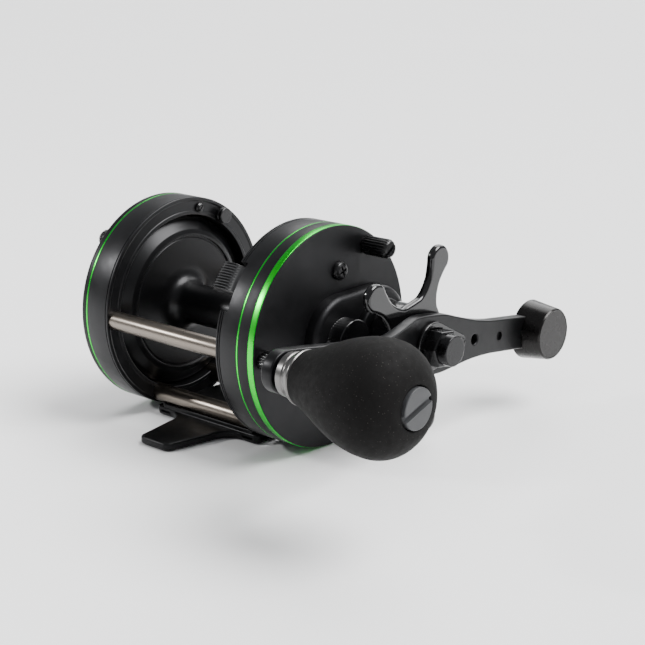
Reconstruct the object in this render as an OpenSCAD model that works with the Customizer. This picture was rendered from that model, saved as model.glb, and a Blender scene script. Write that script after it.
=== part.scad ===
// Round-framed multiplier (trolling) reel with star drag and a power handle.
// X runs along the spool axis and points to the handle side, Y points forward, Z points up.
// The origin is the centre of the foot's underside. All lengths are in millimetres.

/* [Frame] */
// Outer radius of the rings and side plates
plate_r = 27.5; // [27:0.1:28.5]
// Clear width between the inner faces of the two rings
gap_w = 38.2; // [38:0.1:38.6]
// Height of the spool axis above the underside of the foot
axis_h = 27.6; // [27.5:0.1:28.5]
// Diameter of the round pillars that join the rings
pillar_d = 4.7; // [4:0.1:5.2]
// Radius of the circle on which the pillars stand
pillar_pitch_r = 24.75; // [24.5:0.05:24.9]
// Angle of the two lower pillars either side of straight down
lower_pillar_a = 24.8; // [22:0.2:28]

/* [Foot] */
// Overall length of the foot, front to back
foot_len = 61.6; // [58:0.2:66]
// Width of the foot at its tips
foot_tip_w = 11; // [10:0.2:13]
// Width of the plate that carries the lower pillars
foot_wide_w = 36; // [34:0.5:37]
// Thickness of the foot at its tips
foot_t = 2; // [1.8:0.1:2.4]

/* [Spool] */
// Radius of the spool flanges
flange_r = 22.4; // [22:0.1:22.5]
// Radius of the spool arbor
arbor_r = 5.2; // [4.5:0.1:8]

/* [Gears] */
// Tooth module of the main gear and the pinion
gear_m = 0.4; // [0.38:0.01:0.4]
// Angle of the drive shaft as seen from the spool axis
drive_a = -5.2; // [-8:0.1:0]

/* [Handle] */
// Distance from the drive shaft to the knob
knob_reach = 56.5; // [50:0.5:65]
// Distance from the drive shaft to the counterbalance
weight_reach = 46.5; // [42:0.1:50]
// Tilt of the handle arm from level
handle_a = -7.9; // [-12:0.1:0]
// Largest radius of the knob
knob_r = 12.5; // [10:0.1:14]
// Radius of the lobe centres of the star
star_reach = 21; // [19:0.1:22]
// Number of arms on the star
star_arms = 5; // [4:1:5]

/* [Hidden] */
$fn = 72;

// Fits
slip = 0.02;            // parts that are pressed or screwed together
run = 0.05;             // radial clearance of a running fit
cut = 1;                // overshoot of a cutting solid

// Stations along the spool axis
ring_in = gap_w / 2;            // inner face of each ring
ring_flange = 2.5;              // thickness of a ring's inner flange
seam = ring_in + 6.8;           // outer face of the right ring
left_seam = ring_in + 7.6;      // outer face of the left ring
stripe_t = 0.4;                 // thickness of a pinstripe ring
band_w = 2;                     // from the outer face to the inner edge of the accent band
band_lip = 0.25;                // black lip outside the accent band
face_x = 31.5;                  // outer face of the right side plate
left_face_x = -29.5;            // outer face of the left side plate
wall = 1.6;                     // side plate wall
ring_bore = flange_r + 0.5;

// Gear case stations
bridge_x = 23;
bridge_t = 1.1;
cam_x = 24.15;
cam_t = 0.55;
yoke_x = 24.75;
yoke_t = 0.9;
gear_x = 26.4;
gear_t = 2.5;
clutch_lift = 1.1;              // how far the yoke lifts the pinion
clutch_travel = 9;              // travel of the thumb lever in degrees
post_pitch = 8;                 // yoke posts, above and below the spool axis
post_r = 0.9;

// Drive shaft and handle stations
main_teeth = 56;
pinion_teeth = 12;
centres = gear_m * (main_teeth + pinion_teeth) / 2;
drive_y = centres * cos(drive_a);
drive_z = centres * sin(drive_a);
boss_h = 2.8;                   // height of the gear boss on the right side plate
boss_r = 10.7;                  // boss radius round the spool axis
boss_drive_r = 12;              // boss radius round the drive shaft
collar_x = face_x + 5.3;        // outer end of the bearing collar
collar_r = 9.1;
cap_r = 5.75;                   // spool tension cap
star_x = face_x + 13.8;         // inner face of the star's arms
star_a0 = -6;                   // angle of the first star arm
star_t = 2.2;
arm_x = face_x + 16.8;          // inner face of the handle arm
arm_t = 3;
arm_out = arm_x + arm_t;
arm_bend = 4.2;                 // how far the knob end is bent outward
bend_start = -6.5;              // where the bend starts and ends along the arm
bend_end = -22;
arm_end_r = 4.3;                // half width at the counterbalance
arm_knob_r = 4.8;               // half width at the knob
knob_base = arm_out + arm_bend; // outer face of the arm at the knob
knob_y = drive_y - knob_reach * cos(handle_a);
knob_z = drive_z - knob_reach * sin(handle_a);
knob_end = face_x + 59.5;       // outer end of the knob
grip_x = knob_base + 5.7;       // inner end of the soft grip
ferrule_r = 6.1;                // where the ferrule meets the grip
spindle_r = 2;
nut_end = face_x + 27.1;        // outer end of the handle nut
stub_r = 2.05;                  // threaded end that takes the nut
nut_h = 4.7;
hole_near = 18.2;               // through hole beside the nut
hole_far = 29.0;                // blind dimple nearer the counterbalance
lock_screw_at = 10.8;

// Pillars, screws and studs, as angles round the spool axis
thumbscrew_angles = [59.3, 180, 320];
left_thumbscrew_angles = [133, 313];
thumbscrew_pitch = 24.3;
cover_screw_spots = [[2.4, 16.2], [2.4, -16.2], [-12, -11]];
stud_a = 58;
rivet_a = 77.5;
thumb_a0 = 133;                 // edges of the thumb pad
thumb_a1 = 149;
lower_y = pillar_pitch_r * sin(lower_pillar_a);
lower_z = axis_h - pillar_pitch_r * cos(lower_pillar_a);

// Foot
foot_plate_t = 2.4;             // thickness of the wide plate
foot_flare_y = 12.7;            // half length of the wide plate
foot_neck_w = 15;
foot_fillet = 5.5;              // where the blades run into the wide plate
foot_screw_x = 8.5;
pad_h = 0.5;                    // how high the foot's pads reach up the pillars
screw_grip = 1.2;               // how far a foot screw reaches into its pillar

// Small parts inside
screw_r = 1.3;                  // thumbscrew shank
small_screw_r = 1;              // foot and pillar screw shanks
cover_screw_r = 1.1;
pawl_y = drive_y + 8;
pawl_z = drive_z - 7.2;
washer_t = 0.5;
pin_x = bridge_x + 0.55;        // cross pin that drives the spool
brake_x = -25.2;
block_y = 9.6;

// ---- helpers ----

function polar(r, a) = [r * cos(a), r * sin(a)];
function reversed(v) = [for (i = [len(v) - 1 : -1 : 0]) v[i]];
function arc(c, r, a0, a1, n) = [for (i = [0 : n]) c + polar(r, a0 + (a1 - a0) * i / n)];

// A round bar along X between two stations, at (y, z) from the spool axis
module bar(x0, x1, r, y = 0, z = 0) {
    translate([x0, y, axis_h + z]) rotate([0, 90, 0]) cylinder(h = x1 - x0, r = r);
}

module bar_at(x0, x1, r, spot) {
    bar(x0, x1, r, spot[0], spot[1]);
}

// One bar at every right-hand thumbscrew
module thumbscrew_bars(x0, x1, r) {
    for (a = thumbscrew_angles) bar_at(x0, x1, r, polar(thumbscrew_pitch, a));
}

// One bar at each of the two lower pillars
module lower_bars(x0, x1, r) {
    for (s = [-1, 1]) bar_at(x0, x1, r, polar(pillar_pitch_r, -90 + s * lower_pillar_a));
}

// A cone along X, r0 at x0 and r1 at x1
module taper(x0, x1, r0, r1, y = 0, z = 0) {
    translate([x0, y, axis_h + z]) rotate([0, 90, 0]) cylinder(h = x1 - x0, r1 = r0, r2 = r1);
}

// A flat shape drawn in (y, z) and extruded along X
module slab(x0, x1) {
    translate([x0, 0, axis_h]) rotate([90, 0, 90]) linear_extrude(x1 - x0) children();
}

// A profile of [radius, x] points turned round an axis along X
module turned(points, y = 0, z = 0) {
    translate([0, y, axis_h + z]) rotate([0, 90, 0]) rotate_extrude() polygon(points);
}

module tube(x0, x1, r_out, r_in, y = 0, z = 0) {
    difference() {
        bar(x0, x1, r_out, y, z);
        bar(x0 - cut, x1 + cut, r_in, y, z);
    }
}

// A pie slice in the (y, z) plane
module wedge(r, a0, a1) {
    mid = (a0 + a1) / 2;
    polygon([[0, 0], polar(r, a0), polar(1.2 * r, mid), polar(r, a1)]);
}

module ring_sector(r_in, r_out, a0, a1) {
    intersection() {
        difference() {
            circle(r_out);
            circle(r_in);
        }
        wedge(2 * r_out, a0, a1);
    }
}

// Two circles joined along their outer tangents, drawn as one outline
module link_outline(c0, r0, c1, r1) {
    line = c1 - c0;
    base = atan2(line[1], line[0]);
    off = acos((r0 - r1) / norm(line));
    steps = 40;
    polygon(concat(
        arc(c0, r0, base + off, base + 360 - off, steps),
        arc(c1, r1, base - off, base + off, steps)
    ));
}

// ---- frame ----

module pillar_holes(x0, x1, r) {
    for (a = [180, 0]) bar_at(x0, x1, r, polar(pillar_pitch_r, a));
    lower_bars(x0, x1, r);
}

module rim_groove(x) {
    difference() {
        bar(x, x + 0.35, plate_r + cut);
        bar(x - cut, x + cut, plate_r - 0.3);
    }
}

module left_ring() color([0.05, 0.05, 0.055]) {
    difference() {
        bar(-left_seam, -ring_in, plate_r);
        bar(-left_seam - cut, -ring_in + cut, ring_bore);
        rim_groove(-ring_in - 3);
        pillar_holes(-ring_in - 4, -ring_in + cut, pillar_d / 2 + slip);
        bar_at(-ring_in - 3, -ring_in + cut, 1.1, polar(pillar_pitch_r, stud_a));
        bar_at(-ring_in - 3, -ring_in + cut, 0.8, polar(pillar_pitch_r, rivet_a));
        for (a = left_thumbscrew_angles)
            bar_at(-left_seam - cut, -left_seam + 4, screw_r + slip, polar(thumbscrew_pitch, a));
    }
}

module right_ring() color([0.05, 0.05, 0.055]) {
    difference() {
        bar(ring_in, seam, plate_r);
        bar(ring_in - cut, seam + cut, ring_bore);
        difference() {
            bar(ring_in + ring_flange, seam + cut, plate_r - wall);
            thumbscrew_bars(ring_in, seam + 2 * cut, 2.3);
            lower_bars(ring_in, seam + 2 * cut, 2.1);
        }
        rim_groove(ring_in + 1);
        pillar_holes(ring_in - cut, ring_in + 1.6, pillar_d / 2 + slip);
        thumbscrew_bars(seam - 3.5, seam + cut, screw_r + slip);
        lower_bars(seam - 3.5, seam + cut, small_screw_r + slip);
        // window for the thumb lever
        slab(ring_in - cut, ring_in + ring_flange + 0.01)
            ring_sector(24.2, plate_r + 2, thumb_a0 - 0.8, thumb_a1 + clutch_travel + 0.8);
    }
}

module pillar(spot) {
    bar_at(-ring_in - 3.9, ring_in + 1.5, pillar_d / 2, spot);
}

// A lower pillar is tapped from below for the foot screws
module lower_pillar(side) {
    difference() {
        pillar(polar(pillar_pitch_r, -90 + side * lower_pillar_a));
        for (t = [-1, 1])
            translate([t * foot_screw_x, side * lower_y, lower_z - pillar_d])
                cylinder(h = pillar_d / 2 + screw_grip + slip, r = small_screw_r + slip);
    }
}

module rear_pillar() color([0.62, 0.58, 0.53]) pillar([-pillar_pitch_r, 0]);
module front_pillar() color([0.62, 0.58, 0.53]) pillar([pillar_pitch_r, 0]);
module lower_rear_pillar() color([0.62, 0.58, 0.53]) lower_pillar(-1);
module lower_front_pillar() color([0.62, 0.58, 0.53]) lower_pillar(1);

// ---- foot ----

// One quarter of the outline, from the tip of a blade to the side of the wide plate
function foot_quarter() =
    let (corner = 2.2, wing_r = 1.5)
    concat(
        arc([foot_tip_w / 2 - corner, foot_len / 2 - corner], corner, 90, 0, 8),
        arc([foot_neck_w / 2 + foot_fillet, foot_flare_y + foot_fillet], foot_fillet, 180, 270, 12),
        arc([foot_wide_w / 2 - wing_r, foot_flare_y - wing_r], wing_r, 90, 0, 6)
    );

module foot_outline() {
    quarter = foot_quarter();
    back = reversed(quarter);
    polygon(concat(
        quarter,
        [for (p = back) [p[0], -p[1]]],
        [for (p = quarter) [-p[0], -p[1]]],
        [for (p = back) [-p[0], p[1]]]
    ));
}

module foot() color([0.04, 0.04, 0.045]) {
    pad_top = lower_z - pillar_d / 2 + pad_h;
    pad_half = 2.2;
    difference() {
        union() {
            linear_extrude(foot_t) foot_outline();
            intersection() {
                linear_extrude(foot_plate_t) foot_outline();
                translate([-foot_wide_w, -foot_flare_y, -cut])
                    cube([2 * foot_wide_w, 2 * foot_flare_y, pad_top + 2 * cut]);
            }
            // pads that hold the pillars
            for (s = [-1, 1])
                translate([-foot_wide_w / 2 + 2, s * lower_y - pad_half, 1])
                    cube([foot_wide_w - 4, 2 * pad_half, pad_top - 1]);
        }
        lower_bars(-ring_in, ring_in, pillar_d / 2 + slip);
        for (s = [-1, 1], t = [-1, 1])
            translate([t * foot_screw_x, s * lower_y, -cut]) {
                cylinder(h = 5, r = small_screw_r + slip);
                cylinder(h = 2.1, r = 2 + slip);
            }
    }
}

module foot_screws() color([0.6, 0.6, 0.62]) {
    for (s = [-1, 1], t = [-1, 1])
        translate([t * foot_screw_x, s * lower_y, 0]) {
            difference() {
                translate([0, 0, 0.1]) cylinder(h = 0.98, r = 2);
                translate([-0.3, -1.5, 0]) cube([0.6, 3, 0.5]);
            }
            translate([0, 0, 1])
                cylinder(h = lower_z - pillar_d / 2 + screw_grip - 1, r = small_screw_r);
        }
}

// ---- left ring trim ----

module ring_stud() color([0.08, 0.08, 0.09]) {
    spot = polar(pillar_pitch_r, stud_a);
    bar_at(-ring_in - 2.8, -ring_in, 1.08, spot);
    bar_at(-ring_in, -ring_in + 1.7, 2.1, spot);
    taper(-ring_in + 1.7, -ring_in + 2.2, 2.1, 1.6, spot[0], spot[1]);
}

module ring_screw() color([0.08, 0.08, 0.09]) {
    spot = polar(pillar_pitch_r, rivet_a);
    bar_at(-ring_in - 2.8, -ring_in, 0.78, spot);
    bar_at(-ring_in, -ring_in + 0.4, 1.3, spot);
    taper(-ring_in + 0.4, -ring_in + 0.8, 1.3, 0.9, spot[0], spot[1]);
}

// ---- left side ----

module left_side_plate() color([0.05, 0.05, 0.055]) {
    difference() {
        turned([
            [0, -left_seam], [plate_r - 0.6, -left_seam],
            [plate_r - 0.6, -left_seam - stripe_t], [plate_r, -left_seam - stripe_t],
            [plate_r, left_face_x + 0.7], [plate_r - 0.7, left_face_x],
            [10.2, left_face_x], [9.6, left_face_x - 2.2], [9.0, left_face_x - 2.6],
            [0, left_face_x - 2.6]
        ]);
        // hollow behind the plate, round the bearing hub
        difference() {
            bar(-27.9, -20, ring_bore);
            bar(-32, -19, 6.8);
        }
        // bearing pocket and the shaft's way in
        bar(-30.6, -26.5, 5 + slip);
        bar(-27, -20, 4.2);
        for (a = left_thumbscrew_angles)
            bar_at(-40, -20, screw_r + slip, polar(thumbscrew_pitch, a));
    }
}

module pinstripe(x) {
    tube(x, x + stripe_t, plate_r, plate_r - 0.6 + slip);
}

module left_pinstripe() color([0.05, 0.75, 0.25]) pinstripe(-left_seam - stripe_t);

// A knurled, slotted thumbscrew; dir is the way the head points along X
module thumbscrew(x, dir, head_h, head_r, a, reach) {
    spot = polar(thumbscrew_pitch, a);
    m = dir > 0 ? 0 : 1;
    translate([x, spot[0], axis_h + spot[1]]) mirror([m, 0, 0]) rotate([0, 90, 0]) {
        difference() {
            cylinder(h = head_h, r = head_r);
            translate([-head_r - cut, -0.4, head_h - 1]) cube([2 * head_r + 2 * cut, 0.8, 2]);
            for (i = [0 : 15])
                rotate([0, 0, i * 22.5]) translate([head_r + 0.1, 0, 0.8])
                    cylinder(h = head_h, r = 0.3);
        }
        translate([0, 0, -reach]) cylinder(h = reach, r = screw_r);
    }
}

module left_thumbscrews() color([0.06, 0.06, 0.065]) {
    for (a = left_thumbscrew_angles) thumbscrew(left_face_x, -1, 2, 2.6, a, 6);
}

module ball_bearing(x0, x1, r_out, r_in) {
    mid = (r_out + r_in) / 2;
    difference() {
        bar(x0, x1, r_out);
        bar(x0 - cut, x1 + cut, r_in);
        tube(x0 - cut, x0 + 0.3, mid + 0.6, mid - 0.6);
        tube(x1 - 0.3, x1 + cut, mid + 0.6, mid - 0.6);
    }
}

module left_bearing() color([0.75, 0.75, 0.77]) ball_bearing(-30.5, -27.1, 5, 1.5 + run);

module brake_drum() color([0.8, 0.62, 0.3]) {
    tube(-27.9, -27.4, 15, 6.8 + slip);
    tube(-27.4 - slip, -23.6, 15, 14);
}

// ---- right side plate ----

module boss_outline(inset) {
    link_outline([0.8, 0], boss_r - inset, [drive_y, drive_z], boss_drive_r - inset);
}

module right_side_plate() color([0.045, 0.045, 0.05]) {
    inner = face_x - 1.7;
    difference() {
        union() {
            turned([
                [0, face_x], [plate_r - 0.4, face_x], [plate_r - 0.1, face_x - 0.15],
                [plate_r - 0.1, face_x - band_lip], [plate_r - 0.32, face_x - band_lip],
                [plate_r - 0.32, face_x - band_w],
                [plate_r, face_x - band_w], [plate_r, seam + stripe_t],
                [plate_r - 0.6, seam + stripe_t], [plate_r - 0.6, seam], [0, seam]
            ]);
            slab(face_x - 0.5, face_x + 1) boss_outline(0);
            slab(face_x + 1, face_x + 2) boss_outline(0.5);
            slab(face_x + 2, face_x + boss_h) boss_outline(1.3);
            difference() {
                union() {
                    bar(face_x, collar_x - 0.7, collar_r, drive_y, drive_z);
                    taper(collar_x - 0.7, collar_x, collar_r, collar_r - 0.7, drive_y, drive_z);
                }
                bar(face_x + boss_h, collar_x + cut, cap_r + 0.4);
            }
            bar(face_x, face_x + 6.4, 4.6);
        }
        // gear chamber, with the screw posts left standing
        difference() {
            union() {
                bar(seam - cut, inner, plate_r - wall);
                slab(inner - 0.1, face_x + 0.9) boss_outline(2);
            }
            thumbscrew_bars(seam, face_x, 2.3);
            lower_bars(seam, face_x, 2.1);
        }
        // drive bearing seat and opening
        bar(face_x - 3, collar_x - 0.5, 6.5 + slip, drive_y, drive_z);
        bar(face_x, collar_x + cut, 4.6, drive_y, drive_z);
        // spool bearing seat and opening
        bar(face_x - 3, face_x + 2.8, 2.6);
        bar(face_x + 2.8, face_x + 8, 3.5 + slip);
        thumbscrew_bars(seam - cut, face_x + cut, screw_r + slip);
        for (p = cover_screw_spots) bar_at(face_x - 5, face_x + cut, cover_screw_r + slip, p);
        lower_bars(seam - cut, face_x + cut, small_screw_r + slip);
        lower_bars(face_x - 1.1, face_x + cut, 1.5);
    }
}

module right_pinstripe() color([0.05, 0.75, 0.25]) pinstripe(seam);

module accent_band() color([0.02, 0.8, 0.25])
    tube(face_x - band_w + slip, face_x - band_lip - slip, plate_r, plate_r - 0.3);

module right_thumbscrews() color([0.06, 0.06, 0.065]) {
    for (a = thumbscrew_angles) thumbscrew(face_x, 1, 8.1, 2.4, a, 8.5);
}

module cover_screws() color([0.1, 0.1, 0.11]) {
    for (p = cover_screw_spots) {
        difference() {
            union() {
                bar_at(face_x, face_x + 0.9, 2.3, p);
                taper(face_x + 0.9, face_x + 1.5, 2.3, 1.6, p[0], p[1]);
            }
            for (t = [0, 90])
                translate([face_x + 0.8, p[0], axis_h + p[1]]) rotate([t + 45, 0, 0])
                    translate([0, -1.2, -0.25]) cube([2, 2.4, 0.5]);
        }
        bar_at(bridge_x + 3.2, face_x, cover_screw_r, p);
    }
}

module pillar_screws() color([0.1, 0.1, 0.11]) {
    for (s = [-1, 1]) {
        spot = polar(pillar_pitch_r, -90 + s * lower_pillar_a);
        difference() {
            bar_at(face_x - 1.08, face_x - 0.3, 1.45, spot);
            translate([face_x - 0.7, spot[0] - 1, axis_h + spot[1] - 0.2]) cube([1, 2, 0.4]);
        }
        bar_at(seam - 3.4, face_x - 1.08, small_screw_r, spot);
    }
}

// ---- gear case ----

module bridge_plate() color([0.7, 0.71, 0.73]) {
    top = bridge_x + bridge_t;
    difference() {
        union() {
            bar(bridge_x, top, plate_r - wall - 0.3);
            for (p = cover_screw_spots) bar_at(top - 0.1, face_x - 1.72, 1.9, p);
            for (s = [-1, 1]) bar(top - 0.1, face_x - 1.8, post_r, 0, s * post_pitch);
            bar(top - 0.1, gear_x - 0.15, 0.8, pawl_y, pawl_z);
        }
        bar(bridge_x - cut, top + cut, 4);
        bar(bridge_x - cut, top + cut, 3.2 + slip, drive_y, drive_z);
        for (p = cover_screw_spots) bar_at(top + 2, face_x, cover_screw_r + slip, p);
        // room for the ring's screw bosses
        thumbscrew_bars(bridge_x - cut, top + cut, 2.5);
        lower_bars(bridge_x - cut, top + cut, 2.3);
        slab(bridge_x - cut, top + cut)
            ring_sector(23.2, plate_r, thumb_a0 - 1.5, thumb_a1 + clutch_travel + 1.5);
    }
}

module drive_bushing() color([0.72, 0.55, 0.3])
    tube(bridge_x, bridge_x + 2.1, 3.2, 2 + run, drive_y, drive_z);

module drive_bearing() color([0.75, 0.75, 0.77]) {
    difference() {
        bar(face_x + 0.9, collar_x - 0.52, 6.5, drive_y, drive_z);
        bar(face_x, collar_x, 4 + run, drive_y, drive_z);
    }
}

module right_bearing() color([0.75, 0.75, 0.77])
    ball_bearing(face_x + 2.8, face_x + 5.6, 3.5, 1.2 + run);

// A helical spring along X round the post at z
module spring(x0, x1, z, coil_r, wire_r, turns) {
    sides = 6;
    per_turn = 10;
    steps = turns * per_turn;
    pts = [
        for (i = [0 : steps], j = [0 : sides - 1])
            let (a = 360 * i / per_turn, b = 360 * j / sides, r = coil_r + wire_r * cos(b))
            [
                x0 + wire_r + (x1 - x0 - 2 * wire_r) * i / steps + wire_r * sin(b),
                r * cos(a), axis_h + z + r * sin(a)
            ]
    ];
    sides_f = [
        for (i = [0 : steps - 1], j = [0 : sides - 1])
            [i * sides + j, i * sides + (j + 1) % sides, (i + 1) * sides + (j + 1) % sides,
             (i + 1) * sides + j]
    ];
    cap0 = [[for (j = [0 : sides - 1]) sides - 1 - j]];
    cap1 = [[for (j = [0 : sides - 1]) steps * sides + j]];
    polyhedron(pts, concat(sides_f, cap0, cap1));
}

module yoke_springs() color([0.7, 0.7, 0.72]) {
    for (s = [-1, 1]) spring(yoke_x + yoke_t + 0.03, face_x - 1.9, s * post_pitch, 1.3, 0.22, 4);
}

// ---- clutch ----

module cam_ramp(s) {
    rise = clutch_lift - 0.1;
    run_out = rise / 1.15;
    low = cam_x + cam_t;
    y_edge = s * 2.05;
    translate([0, 0, axis_h + s * 4.8])
        mirror([0, 0, s > 0 ? 0 : 1])
            linear_extrude(1.1)
                polygon([
                    [low - 0.1, y_edge], [low, y_edge],
                    [low + rise, y_edge + s * run_out],
                    [low + rise, y_edge + s * (run_out + 0.4)],
                    [low - 0.1, y_edge + s * (run_out + 0.4)]
                ]);
}

module clutch_lever() color([0.55, 0.56, 0.58]) {
    mid = (thumb_a0 + thumb_a1) / 2;
    slab(cam_x, cam_x + cam_t) {
        difference() {
            circle(6.9);
            circle(4.6);
        }
        polygon([polar(5.5, mid - 30), polar(25.3, mid - 5), polar(25.3, mid + 5), polar(5.5, mid + 30)]);
    }
    for (s = [-1, 1]) cam_ramp(s);
    // leg that runs back through the window in the ring
    slab(ring_in - 4.6, cam_x + cam_t) ring_sector(24.5, 25.5, thumb_a0 + 2.5, thumb_a1 - 2.5);
}

module clutch_thumb_pad() color([0.07, 0.07, 0.075]) {
    ridges = 11;
    difference() {
        union() {
            slab(ring_in - 5.6, ring_in + 2.2)
                ring_sector(24.4 + slip, plate_r - 0.25, thumb_a0, thumb_a1);
            for (i = [0 : ridges - 1]) {
                a = thumb_a0 + 0.8 + (thumb_a1 - thumb_a0 - 1.6) * i / (ridges - 1);
                bar_at(ring_in - 5.4, ring_in - 0.1, 0.3, polar(plate_r - 0.25, a));
            }
        }
        slab(ring_in - 4.65, ring_in + 3)
            ring_sector(24, 25.5 + slip, thumb_a0 + 2.3, thumb_a1 - 2.3);
    }
}

module yoke() color([0.8, 0.8, 0.82]) {
    slab(yoke_x, yoke_x + yoke_t)
        difference() {
            union() {
                translate([-4.2, -4.4]) square([5.9, 8.8]);
                translate([-2, -post_pitch - 2]) square([4, 2 * post_pitch + 4]);
            }
            circle(2.1);
            translate([0, -2.1]) square([4, 4.2]);
            for (s = [-1, 1]) translate([0, s * post_pitch]) circle(post_r + run);
        }
}

// ---- gears ----

// Half thickness of a tooth in degrees, at radius r
function inv(a) = tan(a) * 180 / PI - a;
function half_tooth(n, r) =
    let (rp = gear_m * n / 2, rb = rp * cos(20), play = 0.1)
    90 / n * (1 - play) + inv(20) - inv(acos(min(1, rb / r)));
function gear_points(n, phase) =
    let (
        rp = gear_m * n / 2,
        rb = rp * cos(20),
        root = rp - 1.2 * gear_m,
        tip = rp + 0.85 * gear_m,
        low = max(root, rb)
    )
    [
        for (i = [0 : n - 1])
            let (c = phase + 360 * i / n)
            each [
                polar(root, c - half_tooth(n, low)), polar(rp, c - half_tooth(n, rp)),
                polar(tip, c - half_tooth(n, tip)), polar(tip, c + half_tooth(n, tip)),
                polar(rp, c + half_tooth(n, rp)), polar(root, c + half_tooth(n, low))
            ]
    ];

module pinion_gear() color([0.75, 0.6, 0.32]) {
    face = bridge_x + 0.2;
    difference() {
        union() {
            bar(face, face + 1.4, 3.2);
            bar(face + 1.3, face + 2.7, 1.95);
            slab(face + 2.6, face + 7.2) polygon(gear_points(pinion_teeth, drive_a));
        }
        bar(face - cut, face + 10, 1.2 + run);
        translate([face - cut, -4, axis_h - 0.62]) cube([cut + 1.05, 8, 1.24]);
    }
}

module main_gear() color([0.78, 0.62, 0.32]) {
    difference() {
        slab(gear_x, gear_x + gear_t)
            translate([drive_y, drive_z])
                polygon(gear_points(main_teeth, drive_a + 180 + 180 / main_teeth));
        bar(gear_x - cut, gear_x + gear_t + cut, 3.4 + run, drive_y, drive_z);
        bar(gear_x + 1, gear_x + gear_t + cut, 9.6, drive_y, drive_z);
    }
}

module fibre_drag_washers() color([0.25, 0.2, 0.15]) {
    for (i = [0, 2])
        tube(gear_x + 1 + i * washer_t, gear_x + 1 + (i + 1) * washer_t - slip, 9.5, 3.8,
            drive_y, drive_z);
}

module metal_drag_washers() color([0.78, 0.79, 0.8]) {
    for (i = [1, 3])
        tube(gear_x + 1 + i * washer_t, gear_x + 1 + (i + 1) * washer_t - slip, 9.3, 3.4 + slip,
            drive_y, drive_z);
}

module ratchet_wheel() color([0.7, 0.7, 0.72]) {
    teeth = 18;
    step = 360 / teeth;
    difference() {
        slab(bridge_x + 2.3, bridge_x + 3.2)
            translate([drive_y, drive_z])
                polygon([
                    for (i = [0 : teeth - 1])
                        each [polar(6.2, -93.3 + i * step), polar(5.2, -92.5 + i * step)]
                ]);
        bar(bridge_x, bridge_x + 5, 2.6 + slip, drive_y, drive_z);
    }
}

module anti_reverse_pawl() color([0.7, 0.7, 0.72]) {
    slab(bridge_x + 2.3, bridge_x + 3.1)
        difference() {
            union() {
                translate([pawl_y, pawl_z]) circle(1.9);
                translate([pawl_y, pawl_z])
                    polygon([[-0.3, 1.5], [-6.6, -0.1], [-7.9, 0.75], [-8.2, 0.1], [-0.3, -1.6]]);
            }
            translate([pawl_y, pawl_z]) circle(0.8 + run);
        }
}

// ---- spool ----

// One half of the spool's section, from the rim inwards, for either side
function half_section(s) = concat(
    [[flange_r - 0.4, s * 22.4], [flange_r, s * 22.1], [flange_r, s * 21.6],
     [21.6, s * 21.3], [20.6, s * 20.7], [19.6, s * 19.9], [18.7, s * 19.3], [18, s * 19.05],
     [17.5, s * 19], [17.4, s * 19.5], [17, s * 19.5], [16.7, s * 19.2]],
    [for (i = [0 : 6])
        let (a = 15 * i)
        [arbor_r + 4.2 * (1 - sin(a)), s * (15 + 4.2 * cos(a))]]
);

module spool() color([0.03, 0.03, 0.035]) {
    difference() {
        turned(concat(
            [[2.5 + slip, -22.4]], half_section(-1), reversed(half_section(1)),
            [[2.5 + slip, 22.4]]
        ));
        // recess in the left end, behind the brake
        bar(-22.4 - cut, -20.6, 13);
    }
}

module spool_shaft() color([0.75, 0.75, 0.77]) {
    bar(-30.4, -26.8, 1.5);
    bar(-26.8, 22.6, 2.5);
    difference() {
        bar(22.6, face_x + 5.9, 1.2);
        translate([pin_x, 4, axis_h]) rotate([90, 0, 0]) cylinder(h = 8, r = 0.5 + slip);
    }
}

module drive_pin() color([0.8, 0.8, 0.82])
    translate([pin_x, 2.8, axis_h]) rotate([90, 0, 0]) cylinder(h = 5.6, r = 0.5);

// ---- cast control brake ----

module brake_hub() color([0.75, 0.75, 0.77]) {
    difference() {
        bar(-26.5, -22.6, 3.6);
        bar(-30, -20, 2.5 + slip);
    }
    for (s = [0, 1])
        mirror([0, s, 0]) translate([brake_x, 3.4, axis_h]) rotate([-90, 0, 0])
            cylinder(h = 10, r = 0.5);
}

module brake_block(s) {
    color([0.85, 0.85, 0.8]) mirror([0, s, 0]) translate([brake_x, block_y, axis_h])
        rotate([-90, 0, 0]) difference() {
            cylinder(h = 2.2, r = 1.45);
            translate([0, 0, -cut]) cylinder(h = 5, r = 0.5 + run);
        }
}

module front_brake_block() brake_block(0);
module rear_brake_block() brake_block(1);

// ---- drive shaft ----

module flatted(x0, x1, r, half_flat) {
    intersection() {
        bar(x0, x1, r, drive_y, drive_z);
        translate([x0 - cut, drive_y, axis_h + drive_z]) rotate([handle_a, 0, 0])
            translate([0, -r - cut, -half_flat])
                cube([x1 - x0 + 2 * cut, 2 * r + 2 * cut, 2 * half_flat]);
    }
}

module drive_shaft() color([0.75, 0.75, 0.77]) {
    bar(bridge_x + 0.2, bridge_x + 2.3, 2, drive_y, drive_z);
    bar(bridge_x + 2.25, bridge_x + 3.3, 2.6, drive_y, drive_z);
    bar(bridge_x + 3.3, gear_x + 3, 3.4, drive_y, drive_z);
    bar(gear_x + 3, arm_x, 2.95, drive_y, drive_z);
    flatted(arm_x - 0.1, arm_out, 2.9, 2.2);
    bar(arm_out - 0.1, nut_end - 1.8, stub_r, drive_y, drive_z);
}

module drag_sleeve() color([0.7, 0.7, 0.72])
    tube(gear_x + 3.05, collar_x + 0.35, 4, 2.95 + slip, drive_y, drive_z);

module spring_washers() color([0.7, 0.7, 0.72]) {
    for (i = [0, 1])
        turned([
            [2.95 + slip, collar_x + 0.37 + i * 0.42], [5.6, collar_x + 0.57 + i * 0.42],
            [5.6, collar_x + 0.77 + i * 0.42], [2.95 + slip, collar_x + 0.77 + i * 0.42]
        ], drive_y, drive_z);
}

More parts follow.
